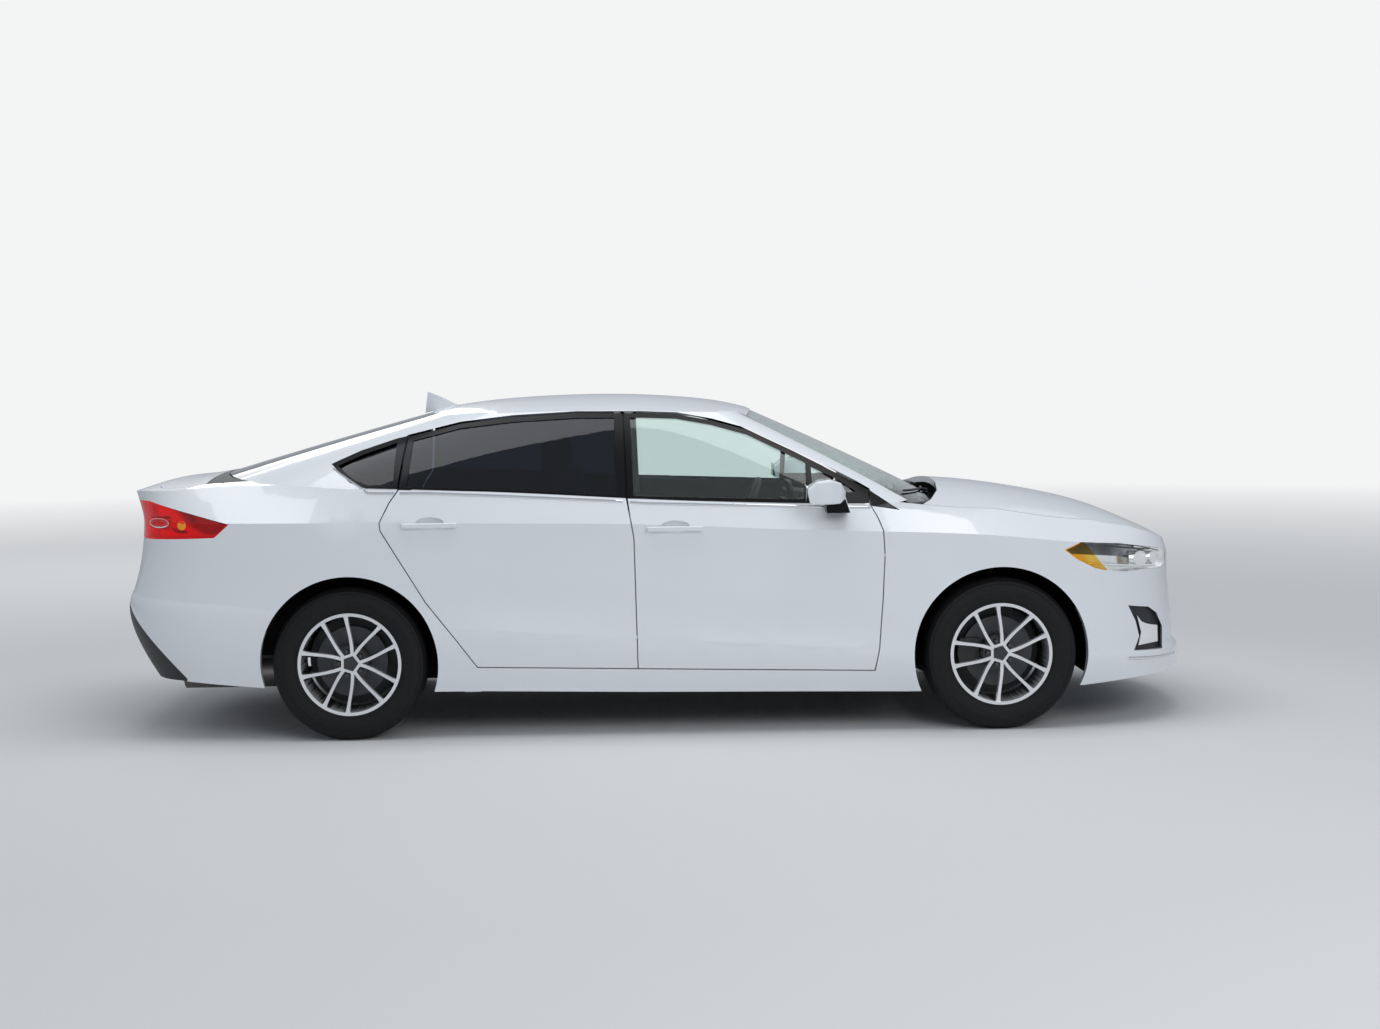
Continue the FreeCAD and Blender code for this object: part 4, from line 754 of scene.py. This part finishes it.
def across_vent(x, z, side, lift):
    """Place level with the bumper's skin over the vent, between the skin above and below it."""
    high = on_side(x, VENT_TOP, side, "front_bumper")
    low = on_side(x, VENT_FOOT, side, "front_bumper")
    share = (z - low.z) / (high.z - low.z)
    return Vector((x, low.y + (high.y - low.y) * share + side * lift, z))


for side_name, side in SIDES:
    for name, node, ends, count, lift, section, look, slot in SIDE_BARS:
        line = [on_side(x, z, side, node, lift) for x, z in between(*ends, count)]
        finished(strip(line, "X", section), name + "_" + side_name, look, "root")
    for name, (x, z), (wide, high), depth, look in TAIL_OVALS:
        turns = [math.tau * i / OVAL_CORNERS for i in range(OVAL_CORNERS)]
        corners = [on_side(x + wide * math.cos(a), z + high * math.sin(a), side,
                           "tail_lamp_lenses", 0.0008) for a in turns]
        oval = recessed(plate(corners, (0, -side * 0.004, 0)),
                        lambda face: face.normal.y * side > 0.7, (0.006, 0), (0.0012, depth))
        finished(oval, "tail_lamp_%s_%s" % (name, side_name), look, "root")

    # The daytime lamp in the vent's lower part
    corners = [across_vent(x, z, side, -0.012) for x, z in DAYTIME_LAMP]
    lamp = plate(corners, (0, -side * 0.010, 0))
    finished(rounded(lamp, 0.002), "daytime_lamp_" + side_name, WHITE_LAMP, "root")

    # Mirror glass in the housing's recess
    (x0, near, z0), (x1, far, z1) = MIRROR_LOW, MIRROR_HIGH
    y0, y1 = sorted((side * near, side * far))
    pane = recessed(block((x0, y0, z0), (x1, y1, z1)), faces_rear, (0.003, 0.0006))
    finished(rounded(pane, FINE_BEVEL), "mirror_glass_" + side_name, MIRROR,
             "front_door_" + side_name)

    # Rubber seal behind the top edge of the rear door
    line = [on_side(x, z + 0.014, side, "side_frame_" + side_name, -0.032)
            for x, z in SEAL_LINE]
    finished(strip(line, "X", (0.014, 0.026)), "rear_door_seal_" + side_name, BLACK_TRIM,
             "root")

    # Backing plates behind the brake discs
    for end in ENDS:
        wheel = "%s_%s" % (end, side_name)
        axle = axle_middle("wheel_" + wheel)
        shield = rod("Y", (axle.x, side * SHIELD_Y, axle.z), SHIELD_RADIUS, 0.003, 56)
        pick(shield, "FACE", lambda face: abs(face.normal.y) > 0.9)
        bpy.ops.mesh.inset(thickness=SHIELD_RING)
        bpy.ops.mesh.bridge_edge_loops()
        leave(shield)
        body = BODY_OF["knuckle_front_" + side_name] if end == "front" else "root"
        finished(rounded(shield, FINE_BEVEL), "brake_shield_" + wheel, LOOKS["chassis_steel"],
                 body)

# Bright bars over and under the upper grille
for name, z, y in (("upper", 0.710, 0.285), ("lower", 0.442, 0.325)):
    line = [on_end(place, z, 1, "front_bumper", 0.001) for (place,) in between((-y,), (y,), 21)]
    finished(strip(line, "Y", (0.010, 0.012)), "grille_bar_" + name, CHROME,
             "root")

# Bright bar across the trunk lid and the blank plate in its recess
line = [on_end(y, 0.962, -1, "trunk_lid", 0.001) for (y,) in between((-0.530,), (0.530,), 25)]
finished(strip(line, "Y", (0.009, 0.020)), "trunk_lid_bar", CHROME, "trunk_lid")
back = on_end(0.0, 0.865, -1, "trunk_lid")
blank = recessed(block((back.x - 0.006, -0.255, 0.810), (back.x - 0.001, 0.255, 0.920)),
                 faces_rear, (0.006, 0), (0.001, -0.0008))
finished(rounded(blank, 0.0006), "blank_plate", BLANK, "trunk_lid")

# Tail pipe behind the muffler
pipe = rod("X", (PIPE_END + PIPE_LENGTH / 2, -0.33, 0.244), 0.034, PIPE_LENGTH, 40)
recessed(pipe, lambda face: face.center.x < PIPE_END + 0.001, (0.003, 0), push=(0.08, 0, 0))
finished(rounded(pipe, FINE_BEVEL), "tail_pipe", CHROME, "root")

# ---- Cabin: padded seats, screen, gauges and vents

PANEL_SHARE = 0.34
SEAT_MIDDLE = 0.37
# Cushions: name, from and to in x, half width (the rear bench gives its own where it is None),
# from and to in z, turn about Y in degrees and the side that carries the seam
FRONT_CUSHIONS = (
    ("front_seat_base", (-0.290, 0.262), 0.255, (0.330, 0.490), -2, "top"),
    ("front_seat_back", (-0.430, -0.290), 0.245, (0.430, 1.110), -16, "front"),
    ("front_seat_headrest", (-0.545, -0.435), 0.128, (1.140, 1.285), -6, "front"))
REAR_CUSHIONS = (
    ("rear_seat_base", (-1.150, -0.635), None, (0.345, 0.485), 3, "top"),
    ("rear_seat_back", (-1.305, -1.185), None, (0.420, 1.030), -16, "front"),
    ("rear_headrest", (-1.400, -1.325), 0.118, (1.020, 1.128), -6, "front"))
# Places of the rear bench: name, middle in y and half width
REAR_PLACES = (("left", 0.395, 0.190), ("middle", 0.0, 0.195), ("right", -0.395, 0.190))


def cushion(name, xs, ys, zs, turn, facing):
    """A crowned cushion with a sewn seam round its middle panel on the side it faces."""
    low, high = zip(xs, ys, zs)
    obj = block(low, high)
    pick(obj, "FACE", lambda face: True)
    bpy.ops.mesh.subdivide(number_cuts=5)
    leave(obj)
    sizes = [b - a for a, b in zip(low, high)]
    middle = Vector([(a + b) / 2 for a, b in zip(low, high)])
    axis = 2 if facing == "top" else 0
    across = [i for i in range(3) if i != axis]

    def panel(face):
        offset = face.center - middle
        inside = all(abs(offset[i]) < PANEL_SHARE * sizes[i] for i in across)
        return offset[axis] > 0.49 * sizes[axis] and inside

    recessed(obj, panel, (0.010, -0.010), (0.010, 0.014))
    smooth = obj.modifiers.new("stuffing", "SUBSURF")
    smooth.levels = 2
    apply_all(obj)
    soften(obj, 60)
    activate(obj)
    bpy.ops.object.origin_set(type="ORIGIN_GEOMETRY", center="MEDIAN")
    obj.rotation_euler = (0, math.radians(turn), 0)
    settled(obj)
    finished(obj, name, LOOKS["seat_fabric"], "root")
    return obj


front_pieces = []
for side_name, side in SIDES:
    y = side * SEAT_MIDDLE
    for stem, xs, half, zs, turn, facing in FRONT_CUSHIONS:
        front_pieces.append(cushion(stem + "_" + side_name, xs, (y - half, y + half), zs, turn,
                                    facing))
    stands = [rod("Z", (-0.482, y + offset, 1.110), 0.007, 0.09, 16) for offset in (-0.06, 0.06)]
    rails = [block((-0.24, y + offset - 0.02, 0.242), (0.20, y + offset + 0.02, 0.345))
             for offset in (-0.19, 0.19)]
    stands = merged([rounded(piece, 0.002) for piece in stands + rails])
    finished(stands, "front_seat_frame_" + side_name, LOOKS["chassis_steel"],
             "root")
    front_pieces.append(stands)
for piece in front_pieces:
    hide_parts("front_seats")
rear_pieces = []
for part, y, place_half in REAR_PLACES:
    for stem, xs, half, zs, turn, facing in REAR_CUSHIONS:
        if stem == "rear_headrest" and part == "middle":
            continue
        reach = half or place_half
        rear_pieces.append(cushion(stem + "_" + part, xs, (y - reach, y + reach), zs, turn,
                                   facing))
base = rounded(block((-1.24, -0.59, 0.345), (-0.66, 0.59, 0.40)), 0.004)
finished(base, "rear_seat_frame", LOOKS["chassis_steel"], "root")
rear_pieces.append(base)
for piece in rear_pieces:
    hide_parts("rear_seat")

SCREEN = moulded("dark screen glass", (0.012, 0.014, 0.018), 0.12)
VENT_PLACES = (-0.66, -0.20, 0.20, 0.66)
SLAT_HEIGHTS = (0.876, 0.886, 0.896)
screen = recessed(block((0.612, -0.130, 0.935), (0.626, 0.130, 1.060), (0, -12, 0)), faces_rear,
                  (0.007, 0), (0.001, -0.0015))
finished(rounded(screen, 0.0015), "dash_screen", SCREEN, "root")
gauges = recessed(block((0.615, 0.215, 0.930), (0.760, 0.525, 0.990), (0, 6, 0)), faces_rear,
                  (0.010, 0), push=(0.05, 0, 0))
finished(rounded(gauges, 0.004), "gauge_hood", LOOKS["interior_plastic"],
         "root")
vents = []
for y in VENT_PLACES:
    rim = recessed(block((0.598, y - 0.055, 0.862), (0.622, y + 0.055, 0.912), (0, -8, 0)),
                   faces_rear, (0.005, 0), push=(0.012, 0, 0))
    slats = [block((0.602, y - 0.05, z), (0.612, y + 0.05, z + 0.003)) for z in SLAT_HEIGHTS]
    vents += [rounded(piece, FINE_BEVEL) for piece in [rim] + slats]
finished(merged(vents), "dash_vents", HUB_CAP, "root")
knob = recessed(rod("Z", (0.30, 0.0, 0.545), 0.022, 0.05, 24),
                lambda face: face.normal.z < -0.9, (0.012, 0), push=(0.02, 0, -0.05))
finished(rounded(knob, 0.004), "gear_knob", HUB_CAP, "root")

# ---- Studio: floor, lights and camera

BACKDROP = (0.90, 0.905, 0.91)
# The camera fitted to the photograph: place, yaw, pitch and roll in degrees, and focal length
# over the frame's width
CAMERA_PLACE = (-0.174, -9.854, 1.624)
CAMERA_TURN = (1.81, 4.19, -0.70)
FOCAL_SHARE = 2068 / 1380
SENSOR_WIDTH = 36


def seen_straight(nodes, links):
    """A value of 1 for rays that come from the camera, also through glass."""
    path = nodes.new("ShaderNodeLightPath")
    seen = nodes.new("ShaderNodeMath")
    seen.operation = "MAXIMUM"
    links.new(path.outputs["Is Camera Ray"], seen.inputs[0])
    links.new(path.outputs["Is Transmission Ray"], seen.inputs[1])
    return seen.outputs[0]


def studio_floor():
    bpy.ops.mesh.primitive_circle_add(vertices=96, radius=60, fill_type="NGON",
                                      location=(0, 0, 0))
    floor = bpy.context.object
    floor.name = "studio_floor"
    look = bpy.data.materials.new("pale studio floor")
    look.use_nodes = True
    nodes, links = look.node_tree.nodes, look.node_tree.links
    nodes.clear()
    out = nodes.new("ShaderNodeOutputMaterial")
    mix = nodes.new("ShaderNodeMixShader")
    matte = nodes.new("ShaderNodeBsdfDiffuse")
    matte.inputs["Color"].default_value = (0.70, 0.705, 0.71, 1)
    far = nodes.new("ShaderNodeEmission")
    far.inputs["Color"].default_value = (*BACKDROP, 1)
    place = nodes.new("ShaderNodeTexCoord")
    distance = nodes.new("ShaderNodeVectorMath")
    distance.operation = "LENGTH"
    fade = nodes.new("ShaderNodeMapRange")
    fade.inputs["From Min"].default_value = 4.0
    fade.inputs["From Max"].default_value = 18.0
    both = nodes.new("ShaderNodeMath")
    both.operation = "MULTIPLY"
    links.new(place.outputs["Object"], distance.inputs[0])
    links.new(distance.outputs["Value"], fade.inputs["Value"])
    links.new(seen_straight(nodes, links), both.inputs[0])
    links.new(fade.outputs["Result"], both.inputs[1])
    links.new(both.outputs[0], mix.inputs["Fac"])
    links.new(matte.outputs["BSDF"], mix.inputs[1])
    links.new(far.outputs["Emission"], mix.inputs[2])
    links.new(mix.outputs["Shader"], out.inputs["Surface"])
    floor.data.materials.append(look)


def studio_world():
    world = bpy.data.worlds.new("studio")
    scene.world = world
    world.use_nodes = True
    nodes, links = world.node_tree.nodes, world.node_tree.links
    nodes.clear()
    out = nodes.new("ShaderNodeOutputWorld")
    mix = nodes.new("ShaderNodeMixShader")
    fill = nodes.new("ShaderNodeBackground")
    fill.inputs["Color"].default_value = (0.86, 0.92, 1.0, 1)
    fill.inputs["Strength"].default_value = 0.47
    shown = nodes.new("ShaderNodeBackground")
    shown.inputs["Color"].default_value = (*BACKDROP, 1)
    links.new(seen_straight(nodes, links), mix.inputs["Fac"])
    links.new(fill.outputs["Background"], mix.inputs[1])
    links.new(shown.outputs["Background"], mix.inputs[2])
    links.new(mix.outputs["Shader"], out.inputs["Surface"])


def softbox(name, place, aim, size, power):
    light = bpy.data.lights.new(name, "AREA")
    light.shape = "RECTANGLE"
    light.size, light.size_y = size
    light.energy = power
    lamp = bpy.data.objects.new(name, light)
    lamp.location = place
    lamp.rotation_euler = (Vector(aim) - Vector(place)).to_track_quat("-Z", "Y").to_euler()
    scene.collection.objects.link(lamp)


def photo_camera():
    """Camera at the photograph's place, aim and lens."""
    place = Vector(CAMERA_PLACE)
    yaw, pitch, roll = (math.radians(a) for a in CAMERA_TURN)
    right = Vector((math.cos(yaw), -math.sin(yaw), 0))
    ahead = Vector((math.sin(yaw) * math.cos(pitch), math.cos(yaw) * math.cos(pitch),
                    -math.sin(pitch)))
    up = right.cross(ahead)
    tilted = math.cos(roll) * right + math.sin(roll) * up
    upright = -math.sin(roll) * right + math.cos(roll) * up
    data = bpy.data.cameras.new("photo_camera")
    data.sensor_fit = "HORIZONTAL"
    data.sensor_width = SENSOR_WIDTH
    data.lens = SENSOR_WIDTH * FOCAL_SHARE
    data.clip_end = 200
    camera = bpy.data.objects.new("photo_camera", data)
    turn = Matrix((tilted, upright, -ahead)).transposed().to_4x4()
    camera.matrix_world = Matrix.Translation(place) @ turn
    scene.collection.objects.link(camera)
    scene.camera = camera


studio_floor()
studio_world()
softbox("overhead", (0, -1.0, 6.5), (0, 0, 0.5), (7, 4), 190)
softbox("front_side", (3.5, -8, 4.5), (0.5, 0, 0.6), (5, 3), 165)
softbox("back_side", (-4, 8, 4.5), (-0.5, 0, 0.6), (5, 3), 110)
photo_camera()
scene.view_settings.view_transform = "Standard"
